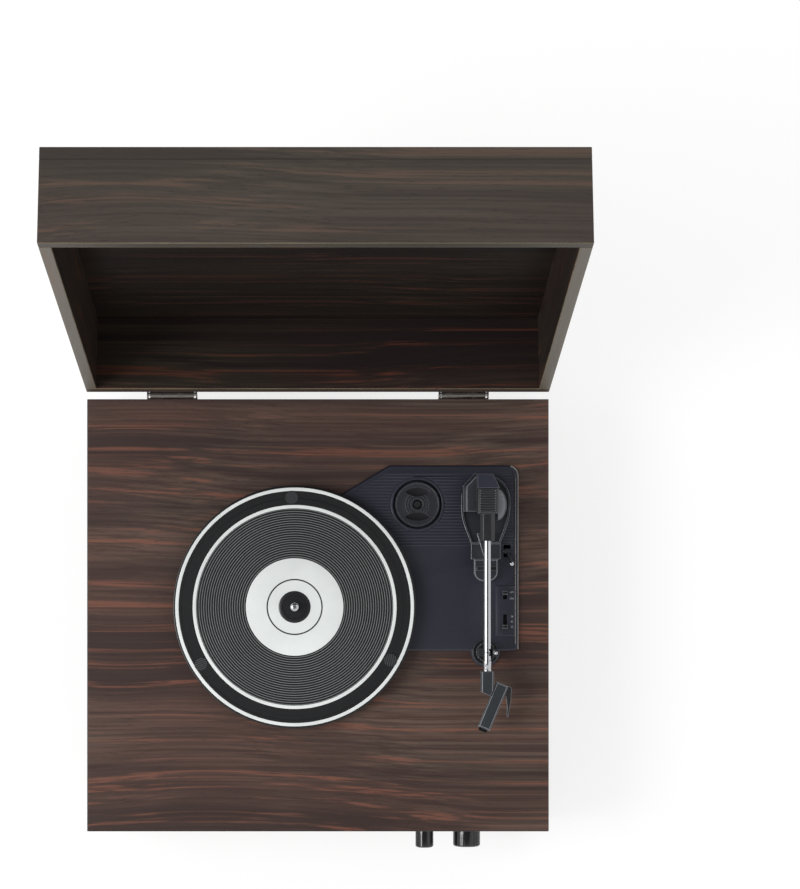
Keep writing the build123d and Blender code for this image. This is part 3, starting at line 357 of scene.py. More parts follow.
def veneer(name, in_lid=False, sideways=False, rim=None, offset=0.0, **values):
    """Oiled wood. rim is the tone of the lid's open edge, and offset slides the grain."""
    material, tree, shader = blank_material(name)
    place = object_place(tree)
    if in_lid:
        place = lid_place(tree, place)
    grain_place = along_y(tree, place) if sideways else place
    if offset:
        grain_place = vector_math(tree, "ADD", grain_place, (offset, offset * 1.7, offset * 0.6)).outputs[0]
    grain = placed_group(tree, veneer_grain, grain_place, **values)
    color = grain.outputs["Color"]
    if rim is not None:
        height = tree.nodes.new("ShaderNodeSeparateXYZ")
        tree.links.new(place, height.inputs[0])
        edge = tree.nodes.new("ShaderNodeMapRange")
        edge.inputs["From Min"].default_value = 0.00062
        edge.inputs["From Max"].default_value = 0.00045
        tree.links.new(height.outputs["Z"], edge.inputs["Value"])
        faint = mixed(tree, 0.35, rim, color)
        color = mixed(tree, edge.outputs["Result"], color, faint)
    shader.inputs["Specular IOR Level"].default_value = 0.35
    coated(tree, shader, grain, color, 0.25, 0.00012)
    return material


def moulded(name, color, gloss=0.42, dust=0.05, grain=0.12, grooves=None, specular=0.5, coat=0.0,
            spread=0.14):
    """Plastic or rubber. grooves gives the pitch, the tone and the strength of rings round the spindle."""
    material, tree, shader = blank_material(name)
    place = object_place(tree)
    surface = placed_group(tree, moulded_surface, place, Color=color, Gloss=gloss, Dust=dust, Spread=spread)
    shade = surface.outputs["Color"]
    if grooves:
        pitch, tint, amount = grooves
        rings = placed_group(tree, turned_rings, place, Pitch=pitch)
        shade = mixed(tree, math_node(tree, "MULTIPLY", rings.outputs["Mask"], amount), shade, tint)
    shader.inputs["Specular IOR Level"].default_value = specular
    shader.inputs["Coat Weight"].default_value = coat
    shader.inputs["Coat Roughness"].default_value = 0.08
    coated(tree, shader, surface, shade, grain, 0.00008)
    return material


def metal(name, color, gloss=0.24, stains=0.3, turn=False, grain=0.08):
    """Drawn metal. turn lays its fine lines along Y in place of X."""
    material, tree, shader = blank_material(name)
    place = object_place(tree)
    if turn:
        place = along_y(tree, place)
    surface = placed_group(tree, drawn_metal, place, Color=color, Gloss=gloss, Stains=stains)
    shader.inputs["Metallic"].default_value = 1.0
    coated(tree, shader, surface, surface.outputs["Color"], grain, 0.00004)
    return material


side_rim = tone(112, 106, 94)
front_rim = tone(58, 54, 44)
rear_rim = tone(66, 54, 47)
# The lid's front wall gets a greyer copy of the walnut: painted sheen where the wall catches light at a
# grazing angle.
sheen_walnut_tones = dict(Dark=tone(50, 42, 37), Middle=tone(70, 60, 53), Streak=tone(96, 72, 58),
                   Pale=tone(80, 73, 62), Streaks=0.45, Paleness=0.4)
# The lid's inner walls get a darker, redder copy of the walnut and its roof a still darker one: painted shade
# inside the open lid.
inner_shade_walnut_tones = dict(Dark=tone(30, 22, 20), Middle=tone(54, 40, 34), Streak=tone(98, 50, 36),
                    Pale=tone(66, 58, 44), Streaks=0.7, Paleness=0.45)
deep_shade_walnut_tones = dict(Dark=tone(17, 12, 9), Middle=tone(33, 24, 18), Streak=tone(70, 36, 26),
                   Pale=tone(45, 39, 28), Streaks=0.6, Paleness=0.45)
walnut_top = veneer("walnut_top")
walnut_front = veneer("walnut_front", offset=0.11)
walnut_side = veneer("walnut_side", sideways=True, offset=0.23)
lid_front_painted_sheen = veneer("lid_front_painted_sheen", in_lid=True, rim=front_rim, **sheen_walnut_tones)
lid_top_painted_shade = veneer("lid_top_painted_shade", in_lid=True, offset=0.07, **deep_shade_walnut_tones)
lid_outer_walnut = veneer("lid_outer_walnut", in_lid=True, offset=0.43)
lid_rear_painted_shade = veneer("lid_rear_painted_shade", in_lid=True, rim=rear_rim, offset=0.19, **inner_shade_walnut_tones)
lid_side_painted_shade = veneer("lid_side_painted_shade", in_lid=True, sideways=True, rim=side_rim, offset=0.31,
                         **inner_shade_walnut_tones)
# Darker walnut on the case's bevels: painted shade along the case's edges.
walnut_edge_shade = veneer("walnut_edge_shade", Dark=tone(26, 18, 16), Middle=tone(40, 28, 25), Streak=tone(58, 34, 28),
                     Pale=tone(52, 42, 36))
lid_edge = veneer("lid_edge", in_lid=True, Dark=tone(84, 74, 58), Middle=tone(112, 100, 80),
                  Streak=tone(132, 110, 84), Pale=tone(140, 130, 108))
fibreboard = veneer("fibreboard", Dark=tone(120, 92, 66), Middle=tone(148, 118, 88),
                    Streak=tone(156, 126, 96), Pale=tone(160, 134, 104), Streaks=0.2, Paleness=0.3)

deck_plastic = moulded("deck_plastic", tone(38, 39, 52), gloss=0.4, dust=0.04, grain=0.1)
# Lighter deck tone on the deck's bevels and on the knurl round the cup: a painted highlight along edges and
# ridges.
deck_edge_highlight = moulded("deck_edge_highlight", tone(64, 65, 80), gloss=0.3, dust=0.03, grain=0.05)
# Pale tone of the thin beads along the deck's right rim: a painted highlight.
rim_highlight_bead = moulded("rim_highlight_bead", tone(158, 156, 152), gloss=0.25, dust=0.03, grain=0.03)
# Near-black tone in the adapter's finger recesses: painted shade.
recess_painted_shade = moulded("recess_painted_shade", tone(22, 20, 28), gloss=0.45, dust=0.03, grain=0.05, specular=0.3)
arm_plastic = moulded("arm_plastic", tone(40, 41, 48), gloss=0.36, dust=0.04, grain=0.1)
# Light grey on the bevels of the arm, the switches and the adapter, and on the rib ends and rest ribs: a
# painted highlight along edges and ridges.
arm_edge_highlight = moulded("arm_edge_highlight", tone(144, 145, 152), gloss=0.28, dust=0.02, grain=0.04)
block_plastic = moulded("block_plastic", tone(13, 14, 17), gloss=0.42, dust=0.05, grain=0.14)
shell_plastic = moulded("shell_plastic", tone(46, 51, 54), gloss=0.34, dust=0.05, grain=0.08)
rest_plastic = moulded("rest_plastic", tone(18, 19, 22), gloss=0.42, dust=0.04, grain=0.08, specular=0.3)
# Grey on the bevels of the arm rest and the pivot block: a painted highlight along their edges.
rest_edge_highlight = moulded("rest_edge_highlight", tone(84, 86, 90), gloss=0.3, dust=0.03, grain=0.04)
cap_plastic = moulded("cap_plastic", tone(60, 62, 75), gloss=0.36, dust=0.04, grain=0.08)
# Light grey on the top of the right cheek: painted light where the rounded cheek catches the lamp.
cheek_painted_light = moulded("cheek_painted_light", tone(108, 110, 116), gloss=0.3, dust=0.05, grain=0.12)
platter_plastic = moulded("platter_plastic", tone(30, 31, 34), gloss=0.4, dust=0.05, grain=0.06)
mat_rubber = moulded("mat_rubber", tone(13, 14, 15), gloss=0.56, dust=0.04, grain=0.2,
                     grooves=(0.00093, tone(46, 48, 51), 0.2), specular=0.3)
pad_rubber = moulded("pad_rubber", tone(74, 77, 78), gloss=0.5, dust=0.06, grain=0.1)
# Light grey on the mat's ribs: a painted highlight on the ridges of the black mat.
mat_rib_highlight = moulded("mat_rib_highlight", tone(132, 136, 136), gloss=0.4, dust=0.1, grain=0.1)
ring_white = moulded("ring_white", tone(246, 250, 248), gloss=0.5, dust=0.05, grain=0.03, spread=0.08)
label_white = moulded("label_white", tone(246, 250, 248), gloss=0.46, dust=0.04, grain=0.02, spread=0.08)
line_black = moulded("line_black", tone(26, 27, 28), gloss=0.5, dust=0.03, grain=0.02)
hub_black = moulded("hub_black", tone(22, 22, 24), gloss=0.28, dust=0.05, grain=0.04,
                    grooves=(0.0011, tone(70, 70, 74), 0.2))
knob_gloss = moulded("knob_gloss", tone(14, 14, 16), gloss=0.14, dust=0.02, grain=0.02, coat=0.6, spread=0.06)
black_rubber = moulded("black_rubber", tone(20, 20, 21), gloss=0.7, dust=0.09, grain=0.3, specular=0.3)
belt_rubber = moulded("belt_rubber", tone(26, 25, 25), gloss=0.62, dust=0.05, grain=0.2, specular=0.3)
dark_plastic = moulded("dark_plastic", tone(28, 27, 27), gloss=0.4, dust=0.06, grain=0.12)
white_mark = moulded("white_mark", tone(184, 186, 190), gloss=0.6, dust=0.02, grain=0.02)
# Black: the cartridge's own colour, and painted shade in the cross recesses of the screws.
black_and_recess_shade = moulded("black_and_recess_shade", tone(12, 12, 13), gloss=0.6, dust=0.03, grain=0.05, specular=0.2)
red_insert = moulded("red_insert", tone(176, 30, 28), gloss=0.36, dust=0.03, grain=0.03)
white_insert = moulded("white_insert", tone(226, 226, 222), gloss=0.36, dust=0.03, grain=0.03)
circuit_green = moulded("circuit_green", tone(26, 92, 50), gloss=0.3, dust=0.05, grain=0.06)
cone_paper = moulded("cone_paper", tone(46, 44, 42), gloss=0.72, dust=0.12, grain=0.4, specular=0.2)
chrome_bright = metal("chrome_bright", tone(190, 191, 194), gloss=0.07, stains=0.08, turn=True, grain=0.02)
chrome_dark = metal("chrome_dark", tone(128, 130, 136), gloss=0.14, stains=0.2, turn=True, grain=0.03)
hinge_steel = metal("hinge_steel", tone(112, 108, 104), gloss=0.14, stains=0.4, grain=0.03)
plated_steel = metal("plated_steel", tone(170, 170, 168), gloss=0.26, stains=0.3)
oiled_brass = metal("oiled_brass", tone(190, 150, 82), gloss=0.3, stains=0.4)


def make_lamp_material():
    material, tree, shader = blank_material("lamp_red")
    red = tone(168, 24, 18)
    surface = placed_group(tree, moulded_surface, object_place(tree), Color=red, Gloss=0.16, Dust=0.02)
    tree.links.new(surface.outputs["Color"], shader.inputs["Emission Color"])
    shader.inputs["Emission Strength"].default_value = 0.5
    coated(tree, shader, surface, surface.outputs["Color"], 0.02, 0.00004)
    return material


def make_cloth_material():
    """Speaker cloth: threads that cross in Y and Z."""
    material, tree, shader = blank_material("speaker_cloth")
    place = object_place(tree)
    parts = tree.nodes.new("ShaderNodeSeparateXYZ")
    tree.links.new(place, parts.inputs[0])
    thread_turns = 5200.0
    warp = math_node(tree, "SINE", math_node(tree, "MULTIPLY", parts.outputs["Y"], thread_turns))
    weft = math_node(tree, "SINE", math_node(tree, "MULTIPLY", parts.outputs["Z"], thread_turns))
    weave = math_node(tree, "MULTIPLY_ADD", math_node(tree, "MULTIPLY", warp, weft), 0.5, 0.5)
    surface = placed_group(tree, moulded_surface, place, Color=tone(34, 32, 32), Gloss=0.85, Dust=0.15)
    shade = mixed(tree, math_node(tree, "MULTIPLY", weave, 0.5), surface.outputs["Color"], tone(12, 11, 11))
    tree.links.new(shade, shader.inputs["Base Color"])
    tree.links.new(surface.outputs["Roughness"], shader.inputs["Roughness"])
    shader.inputs["Sheen Weight"].default_value = 0.3
    bumped(tree, shader, weave, 0.5, 0.0002)
    return material


lamp_red = make_lamp_material()
speaker_cloth = make_cloth_material()


# Making pieces


def linked(name, mesh):
    piece = bpy.data.objects.new(name, mesh)
    bpy.context.scene.collection.objects.link(piece)
    return piece


def plain_mesh(holder):
    """The mesh that an object gives with its modifiers. The object itself is removed."""
    evaluated = holder.evaluated_get(bpy.context.evaluated_depsgraph_get())
    mesh = bpy.data.meshes.new_from_object(evaluated)
    bpy.data.objects.remove(holder)
    return mesh


def break_edges(piece, width, edge_slot):
    """A small bevel, width in mm, along the sharp edges. edge_slot is the slot of the bevel's colour, mostly
    a painted highlight or painted shade along the edges, or -1.
    """
    bevel = piece.modifiers.new("broken_edge", "BEVEL")
    bevel.width = width * mm
    bevel.segments = 2
    bevel.limit_method = "ANGLE"
    bevel.angle_limit = bevel_angle
    bevel.material = edge_slot
    return bevel


def smooth(mesh, angle=30):
    mesh.shade_smooth()
    mesh.set_sharp_from_angle(angle=math.radians(angle))


def dress(piece, material, body, replaced=()):
    """Gives a finished piece its finish, its body and the nodes that it stands for."""
    if material is not None:
        piece.data.materials.clear()
        piece.data.materials.append(material)
    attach(piece, body)
    if replaced:
        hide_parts(*replaced)
    return piece


def mesh_from(form, angle=30, recalculate=True):
    if recalculate:
        bmesh.ops.recalc_face_normals(form, faces=form.faces)
    mesh = bpy.data.meshes.new("form")
    form.to_mesh(mesh)
    form.free()
    smooth(mesh, angle)
    return mesh


def turn_profile(form, profile, centre, steps, axis="Z"):
    """Adds a turned solid to form. profile is a closed loop of (radius, height) in mm."""
    rings = []
    for radius, height in profile:
        ring = []
        for step in range(steps if radius > 0 else 1):
            angle = 2 * math.pi * step / steps
            across, up = radius * math.cos(angle), radius * math.sin(angle)
            if axis == "Z":
                place = (centre[0] + across, centre[1] + up, height)
            elif axis == "Y":
                place = (centre[0] + across, height, centre[1] + up)
            else:
                place = (height, centre[0] + across, centre[1] + up)
            ring.append(form.verts.new(Vector(place) * mm))
        rings.append(ring)
    for index, ring in enumerate(rings):
        following = rings[(index + 1) % len(rings)]
        if len(ring) == 1 and len(following) == 1:
            continue
        for step in range(steps):
            after = (step + 1) % steps
            corners = [ring[step % len(ring)], ring[after % len(ring)],
                       following[after % len(following)], following[step % len(following)]]
            unique = list(dict.fromkeys(corners))
            if len(unique) > 2:
                form.faces.new(unique)


def turned_piece(name, profiles, material, body, replaced=(), steps=192, axis="Z", angle=30):
    """One piece of several turned solids: profiles is a list of (profile, centre)."""
    form = bmesh.new()
    for profile, centre in profiles:
        turn_profile(form, profile, centre, steps, axis)
    piece = linked(name, mesh_from(form, angle))
    return dress(piece, material, body, replaced)


def sliced(form, axis, places):
    """Cuts the form's faces along planes, so that its points can follow a curve. Places are in metres."""
    for value in places:
        point = Vector((0.0, 0.0, 0.0))
        point[axis] = value
        normal = Vector((0.0, 0.0, 0.0))
        normal[axis] = 1.0
        parts = form.verts[:] + form.edges[:] + form.faces[:]
        bmesh.ops.bisect_plane(form, geom=parts, plane_co=point, plane_no=normal, dist=0.000001)


def softened(name, node, material, body, width, edge=None, clamp=False, reshape=None, bare=None):
    """A CAD node's form with its edges broken by a small bevel. edge is the colour of the bevel faces: for
    most pieces a lighter tone, a painted highlight along the edges, and for the case boards a darker tone,
    painted shade.

    reshape moves the points of the form first, and bare says where a bevel keeps the plain finish.
    """
    same_place = 0.000002
    same_plane = math.radians(0.8)
    form = bmesh.new()
    form.from_mesh(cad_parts[node].data)
    bmesh.ops.remove_doubles(form, verts=form.verts, dist=same_place)
    bmesh.ops.dissolve_limit(form, angle_limit=same_plane, verts=form.verts, edges=form.edges,
                             use_dissolve_boundaries=False)
    if reshape is not None:
        reshape(form)
    mesh = bpy.data.meshes.new(name)
    form.to_mesh(mesh)
    form.free()
    rough_piece = linked(name + "_rough", mesh)
    mesh.materials.clear()
    mesh.materials.append(material)
    if edge is not None:
        mesh.materials.append(edge)
    bevel = break_edges(rough_piece, width, 1 if edge is not None else -1)
    bevel.use_clamp_overlap = clamp
    finished = plain_mesh(rough_piece)
    if bare is not None:
        for face in finished.polygons:
            if bare(face.center / mm):
                face.material_index = 0
    smooth(finished, 20)
    piece = linked(name, finished)
    return dress(piece, None, body, (node,))


def repainted(piece, material, chosen):
    """Gives another finish to the faces whose middle, in mm, is chosen."""
    piece.data.materials.append(material)
    last = len(piece.data.materials) - 1
    for face in piece.data.polygons:
        if chosen(face.center / mm):
            face.material_index = last


# Geometry node trees


class TreeMaker:
    """A geometry node tree with named inputs that ends in Realize Instances and Set Material.

    Every tree also has the inputs Place, Turn and Material.
    """

    def __init__(self, name, inputs):
        self.tree = bpy.data.node_groups.new(name, "GeometryNodeTree")
        self.tree.interface.new_socket(name="Geometry", in_out="INPUT", socket_type="NodeSocketGeometry")
        kinds = {int: "NodeSocketInt", float: "NodeSocketFloat", tuple: "NodeSocketVector"}
        self.names = {}
        nowhere = (0.0, 0.0, 0.0)
        for label, value in inputs + [("Place", nowhere), ("Turn", nowhere), ("Material", None)]:
            kind = "NodeSocketMaterial" if value is None else kinds[type(value)]
            socket = self.tree.interface.new_socket(name=label, in_out="INPUT", socket_type=kind)
            if value is not None:
                socket.default_value = value
            self.names[label] = socket.identifier
        self.tree.interface.new_socket(name="Geometry", in_out="OUTPUT", socket_type="NodeSocketGeometry")
        self.entry = self.tree.nodes.new("NodeGroupInput")
        self.leave = self.tree.nodes.new("NodeGroupOutput")

    def node(self, kind, links=(), **settings):
        made = self.tree.nodes.new(kind)
        for label, value in settings.items():
            setattr(made, label, value)
        for socket, value in dict(links).items():
            if isinstance(value, bpy.types.NodeSocket):
                self.tree.links.new(value, made.inputs[socket])
            else:
                made.inputs[socket].default_value = value
        return made

    def math(self, operation, first, second=0.0):
        made = self.node("ShaderNodeMath", {0: first, 1: second}, operation=operation)
        return made.outputs[0]

    def vector(self, x=0.0, y=0.0, z=0.0):
        return self.node("ShaderNodeCombineXYZ", {0: x, 1: y, 2: z}).outputs[0]

    def given(self, label):
        return self.entry.outputs[label]

    def place_x(self):
        """The X of each point."""
        here = self.node("GeometryNodeInputPosition")
        return self.node("ShaderNodeSeparateXYZ", {0: here.outputs[0]}).outputs["X"]

    def row(self, count, first, pitch):
        """As many points as the input called count, in a row along X."""
        line = self.node("GeometryNodeMeshLine", {
            "Count": self.given(count), "Start Location": self.vector(first), "Offset": self.vector(pitch)})
        return line.outputs[0]

    def circle(self, steps, radius):
        circle = self.node("GeometryNodeCurvePrimitiveCircle", {"Resolution": steps, "Radius": radius})
        return circle.outputs[0]

    def copies(self, points, shape, **turned):
        made = self.node("GeometryNodeInstanceOnPoints", {"Points": points, "Instance": shape, **turned})
        return made.outputs[0]

    def finish(self, geometry):
        """Moves the result to its place, realizes it and sets its material."""
        placed = self.node("GeometryNodeTransform", {
            "Geometry": geometry, "Translation": self.given("Place"), "Rotation": self.given("Turn")})
        real = self.node("GeometryNodeRealizeInstances", {0: placed.outputs[0]})
        finished = self.node("GeometryNodeSetMaterial", {
            "Geometry": real.outputs[0], "Material": self.given("Material")})
        self.tree.links.new(finished.outputs[0], self.leave.inputs[0])
        return self


def grown(name, maker, base=None, **values):
    """The plain mesh that a tree makes with these values."""
    carrier = linked(name + "_grower", base or bpy.data.meshes.new(name + "_seed"))
    modifier = carrier.modifiers.new("rule", "NODES")
    modifier.node_group = maker.tree
    for label, value in values.items():
        modifier[maker.names[label.replace("_", " ")]] = value
    bpy.context.view_layer.update()
    return plain_mesh(carrier)


def joined(name, meshes, material, body, angle=30):
    form = bmesh.new()
    for mesh in meshes:
        form.from_mesh(mesh)
    return dress(linked(name, mesh_from(form, angle)), material, body)


def ribs_on_disc_tree():
    """Concentric round ribs, one each pitch, from an inner radius outwards."""
    maker = TreeMaker("ribs_on_disc", [
        ("Ribs", 21), ("Inner Radius", 0.04), ("Pitch", 0.00186), ("Rib Radius", 0.0003), ("Around", 220)])
    caught = maker.node("GeometryNodeCaptureAttribute", domain="POINT")
    caught.capture_items.new("FLOAT", "radius")
    row = maker.row("Ribs", maker.given("Inner Radius"), maker.given("Pitch"))
    maker.tree.links.new(row, caught.inputs[0])
    maker.tree.links.new(maker.place_x(), caught.inputs[1])
    gathered = maker.node("GeometryNodeSetPosition", {
        "Geometry": caught.outputs[0], "Position": maker.vector()})
    size = maker.vector(caught.outputs[1], caught.outputs[1], 1.0)
    rings = maker.copies(gathered.outputs[0], maker.circle(maker.given("Around"), 1.0), Scale=size)
    real = maker.node("GeometryNodeRealizeInstances", {0: rings})
    section = maker.circle(6, maker.given("Rib Radius"))
    swept = maker.node("GeometryNodeCurveToMesh", {"Curve": real.outputs[0], "Profile Curve": section})
    return maker.finish(swept.outputs[0])


def bars_in_disc_tree():
    """Straight bars side by side that fill a round field."""
    maker = TreeMaker("bars_in_disc", [
        ("Bars", 6), ("Disc Radius", 0.005), ("Bar Width", 0.0006), ("Bar Height", 0.0004)])
    radius = maker.given("Disc Radius")
    pitch = maker.math("DIVIDE", maker.math("MULTIPLY", radius, 2.0), maker.given("Bars"))
    row = maker.row("Bars", maker.math("SUBTRACT", maker.math("MULTIPLY", pitch, 0.5), radius), pitch)
    x = maker.place_x()
    room = maker.math("SUBTRACT", maker.math("MULTIPLY", radius, radius), maker.math("MULTIPLY", x, x))
    length = maker.math("MULTIPLY", maker.math("SQRT", room), 2.0)
    bar = maker.node("GeometryNodeMeshCube", {"Size": (1.0, 1.0, 1.0)})
    size = maker.vector(maker.given("Bar Width"), length, maker.given("Bar Height"))
    return maker.finish(maker.copies(row, bar.outputs[0], Scale=size))


def ridges_round_tree():
    """Ridges set evenly round a circle, each pointing outwards."""
    maker = TreeMaker("ridges_round", [
        ("Ridges", 60), ("Ring Radius", 0.02), ("Depth", 0.001), ("Width", 0.0005), ("Height", 0.001)])
    ring = maker.node("GeometryNodeMeshCircle", {
        "Vertices": maker.given("Ridges"), "Radius": maker.given("Ring Radius")})
    here = maker.node("GeometryNodeInputPosition")
    facing = maker.node("FunctionNodeAlignRotationToVector", {"Vector": here.outputs[0]}, axis="X")
    bar = maker.node("GeometryNodeMeshCube", {"Size": (1.0, 1.0, 1.0)})
    size = maker.vector(maker.given("Depth"), maker.given("Width"), maker.given("Height"))
    return maker.finish(maker.copies(ring.outputs[0], bar.outputs[0], Rotation=facing.outputs[0], Scale=size))


def row_of_bars_tree():
    """Equal bars in a row along X."""
    maker = TreeMaker("row_of_bars", [("Bars", 10), ("Pitch", 0.002), ("Bar Size", (0.001, 0.01, 0.001))])
    bar = maker.node("GeometryNodeMeshCube", {"Size": maker.given("Bar Size")})
    return maker.finish(maker.copies(maker.row("Bars", 0.0, maker.given("Pitch")), bar.outputs[0]))


def bead_on_path_tree():
    """A round bead along the edges of the seed mesh."""
    maker = TreeMaker("bead_on_path", [("Bead Radius", 0.0003)])
    line = maker.node("GeometryNodeMeshToCurve", {"Mesh": maker.given("Geometry")})
    section = maker.circle(8, maker.given("Bead Radius"))
    swept = maker.node("GeometryNodeCurveToMesh", {
        "Curve": line.outputs[0], "Profile Curve": section, "Fill Caps": True})
    return maker.finish(swept.outputs[0])


def crosses_on_points_tree():
    """A cross recess on each point of the seed mesh."""
    maker = TreeMaker("crosses_on_points", [
        ("Arm", 0.0022), ("Arm Width", 0.0006), ("Sink", 0.0003), ("Lean", (0.0, 0.0, 0.0))])
    size = maker.vector(maker.given("Arm"), maker.given("Arm Width"), maker.given("Sink"))
    first = maker.node("GeometryNodeMeshCube", {"Size": size})
    second = maker.node("GeometryNodeTransform", {
        "Geometry": first.outputs[0], "Rotation": (0.0, 0.0, math.radians(90))})
    both = maker.node("GeometryNodeJoinGeometry")
    maker.tree.links.new(first.outputs[0], both.inputs[0])
    maker.tree.links.new(second.outputs[0], both.inputs[0])
    lean = maker.node("FunctionNodeEulerToRotation", {0: maker.given("Lean")})
    return maker.finish(maker.copies(maker.given("Geometry"), both.outputs[0], Rotation=lean.outputs[0]))


ribs_on_disc = ribs_on_disc_tree()
bars_in_disc = bars_in_disc_tree()
ridges_round = ridges_round_tree()
row_of_bars = row_of_bars_tree()
bead_on_path = bead_on_path_tree()
crosses_on_points = crosses_on_points_tree()


def point_seed(name, places, edges=()):
    """A mesh of points, in mm, for a tree to work on."""
    mesh = bpy.data.meshes.new(name)
    mesh.from_pydata([tuple(value * mm for value in place) for place in places], edges, [])
    return mesh


def path_seed(name, places):
    """Points joined one to the next."""
    return point_seed(name, places, [(index, index + 1) for index in range(len(places) - 1)])


# Case and lid


def in_shut_lid(place):
    """Where a place of the open lid lies in the shut lid, in mm from the hinge line."""
    shut = Vector((place.x, place.y - hinge_y, place.z - hinge_z))
    shut.rotate(Matrix.Rotation(open_angle, 3, "X"))
    return shut


def make_case_pieces():
    rim_bevel_z = 1.5
    outside_z = 66.0
    front_strip_y = -343.8
    for node, finish in (("case_front", walnut_front), ("case_rear", walnut_front),
                         ("case_left", walnut_side), ("case_right", walnut_side), ("case_top", walnut_top)):
        # The darker bevel colour is painted shade along the case's edges.
        softened(node + "_board", node, finish, "cabinet", 0.6, walnut_edge_shade, clamp=True)
    # The lid's roof and inner walls take the darker copies, painted shade, and its front wall the greyer
    # copy, painted sheen.
    for node, finish in (("lid_top", lid_top_painted_shade), ("lid_front", lid_front_painted_sheen),
                         ("lid_rear", lid_rear_painted_shade), ("lid_left", lid_side_painted_shade),
                         ("lid_right", lid_side_painted_shade)):
        board = softened(node + "_board", node, finish, "lid", 0.5, lid_edge, clamp=True,
                         bare=lambda centre: in_shut_lid(centre).z > rim_bevel_z)
        if node == "lid_top":
            repainted(board, lid_outer_walnut, lambda centre: in_shut_lid(centre).z > outside_z)
            # The front strip of the lid's roof takes the front wall's painted sheen.
            repainted(board, lid_front_painted_sheen, lambda centre: in_shut_lid(centre).y < front_strip_y)


# Platter and mat


def make_platter_pieces():
    skin = platter_z - 3.0
    low = deck_z + 1.7
    foot = low + 0.6
    rim = [(5.6, low), (9.0, low), (9.0, skin), (60.0, skin), (60.0, foot), (62.5, foot), (62.5, skin),
           (92.5, skin), (92.5, low), (94.4, low), (95.0, foot), (95.0, platter_z - 0.9),
           (94.75, platter_z - 0.28), (94.1, platter_z), (5.6, platter_z)]
    turned_piece("platter_disc", [(rim, spindle)], platter_plastic, "turntable",
                 ("platter",), 256)
    make_mat_pieces()
    bump = mat_z + 0.62
    hub_face = mat_z + 0.3
    hub_top = mat_z + 1.2
    cap = [(4.05, platter_z), (12.4, platter_z), (12.4, hub_face), (11.8, bump), (9.6, bump), (9.3, hub_face),
           (8.7, hub_face), (8.4, bump), (6.6, bump), (6.2, hub_top), (4.05, hub_top)]
    turned_piece("hub_cover", [(cap, spindle)], hub_black, "turntable", ("hub_cap",), 128)
    tip = mat_z + 8.0
    pin = [(0, case_top_z - 12), (4.0, case_top_z - 12), (4.0, hub_top), (3.58, mat_z + 1.7),
           (3.58, tip - 2.4), (3.3, tip - 1.4), (2.58, tip - 0.6), (1.4, tip - 0.12), (0, tip)]
    turned_piece("spindle_pin", [(pin, spindle)], chrome_bright, "cabinet", ("spindle",), 96,
                 angle=50)


def make_mat_pieces():
    """Rubber mat with its pads and ribs, the two white rings and the white label."""
    ring_width = 2.6
    outer, inner = 93.25, 79.65
    label_rim = 38.1
    hub_rim = 12.5
    groove = mat_z - 0.5
    print_z = mat_z + 0.06
    band = mat_z - 0.3
    mat = [(hub_rim, platter_z), (94.2, platter_z), (94.2, mat_z - 0.25), (93.95, mat_z), (outer, mat_z),
           (outer, groove), (outer - ring_width, groove), (outer - ring_width, mat_z), (88.6, mat_z),
           (88.3, band), (85.0, band), (84.7, mat_z), (inner, mat_z), (inner, groove),
           (inner - ring_width, groove), (inner - ring_width, mat_z), (label_rim, mat_z), (label_rim, groove),
           (hub_rim, groove)]
    pad_ring = 85.5
    pad_top = mat_z + 0.3
    pad = [(0, band), (5.4, band), (5.4, mat_z + 0.12), (5.1, pad_top), (0, pad_top)]
    pads = []
    hatch = []
    for index, angle in enumerate((91.5, 211.4, 331.0)):
        x = spindle[0] + pad_ring * math.cos(math.radians(angle))
        y = spindle[1] + pad_ring * math.sin(math.radians(angle))
        pads.append((pad, (x, y)))
        hatch.append(grown("pad_hatch_%d" % index, bars_in_disc, Bars=7, Disc_Radius=0.0049, Bar_Width=0.0006,
                           Bar_Height=0.0003, Place=(x * mm, y * mm, (mat_z + 0.35) * mm),
                           Turn=(0.0, 0.0, math.radians(angle + 40)), Material=pad_rubber))
    turned_piece("rubber_mat", [(mat, spindle)] + pads, mat_rubber, "turntable",
                 ("platter_mat",), 256)
    # The ribs are painted light grey: a painted highlight on the ridges.
    ribs = grown("mat_ribs", ribs_on_disc, Ribs=21, Inner_Radius=0.0393, Pitch=0.00186, Rib_Radius=0.00029,
                 Place=(spindle[0] * mm, spindle[1] * mm, mat_z * mm), Material=mat_rib_highlight)
    joined("mat_ribs", [ribs], mat_rib_highlight, "turntable", angle=50)
    joined("pad_hatch", hatch, pad_rubber, "turntable")
    rings = []
    for radius in (outer, inner):
        near, far = radius - 2.58, radius - 0.02
        rings.append(([(near, groove), (far, groove), (far, mat_z + 0.02), (radius - 0.2, print_z),
                       (radius - 2.4, print_z), (near, mat_z + 0.02)], spindle))
    turned_piece("white_rings", rings, ring_white, "turntable", ("mat_rings",), 256)
    line_floor = mat_z - 0.14
    label = [(hub_rim, groove), (38.08, groove), (38.08, mat_z), (37.9, print_z), (21.95, print_z),
             (21.95, line_floor), (20.85, line_floor), (20.85, print_z), (hub_rim, print_z)]
    turned_piece("label", [(label, spindle)], label_white, "turntable", ("label_disc",), 256)
    line = [(20.87, line_floor), (21.93, line_floor), (21.93, mat_z + 0.05), (20.87, mat_z + 0.05)]
    turned_piece("label_line", [(line, spindle)], line_black, "turntable")


# Deck


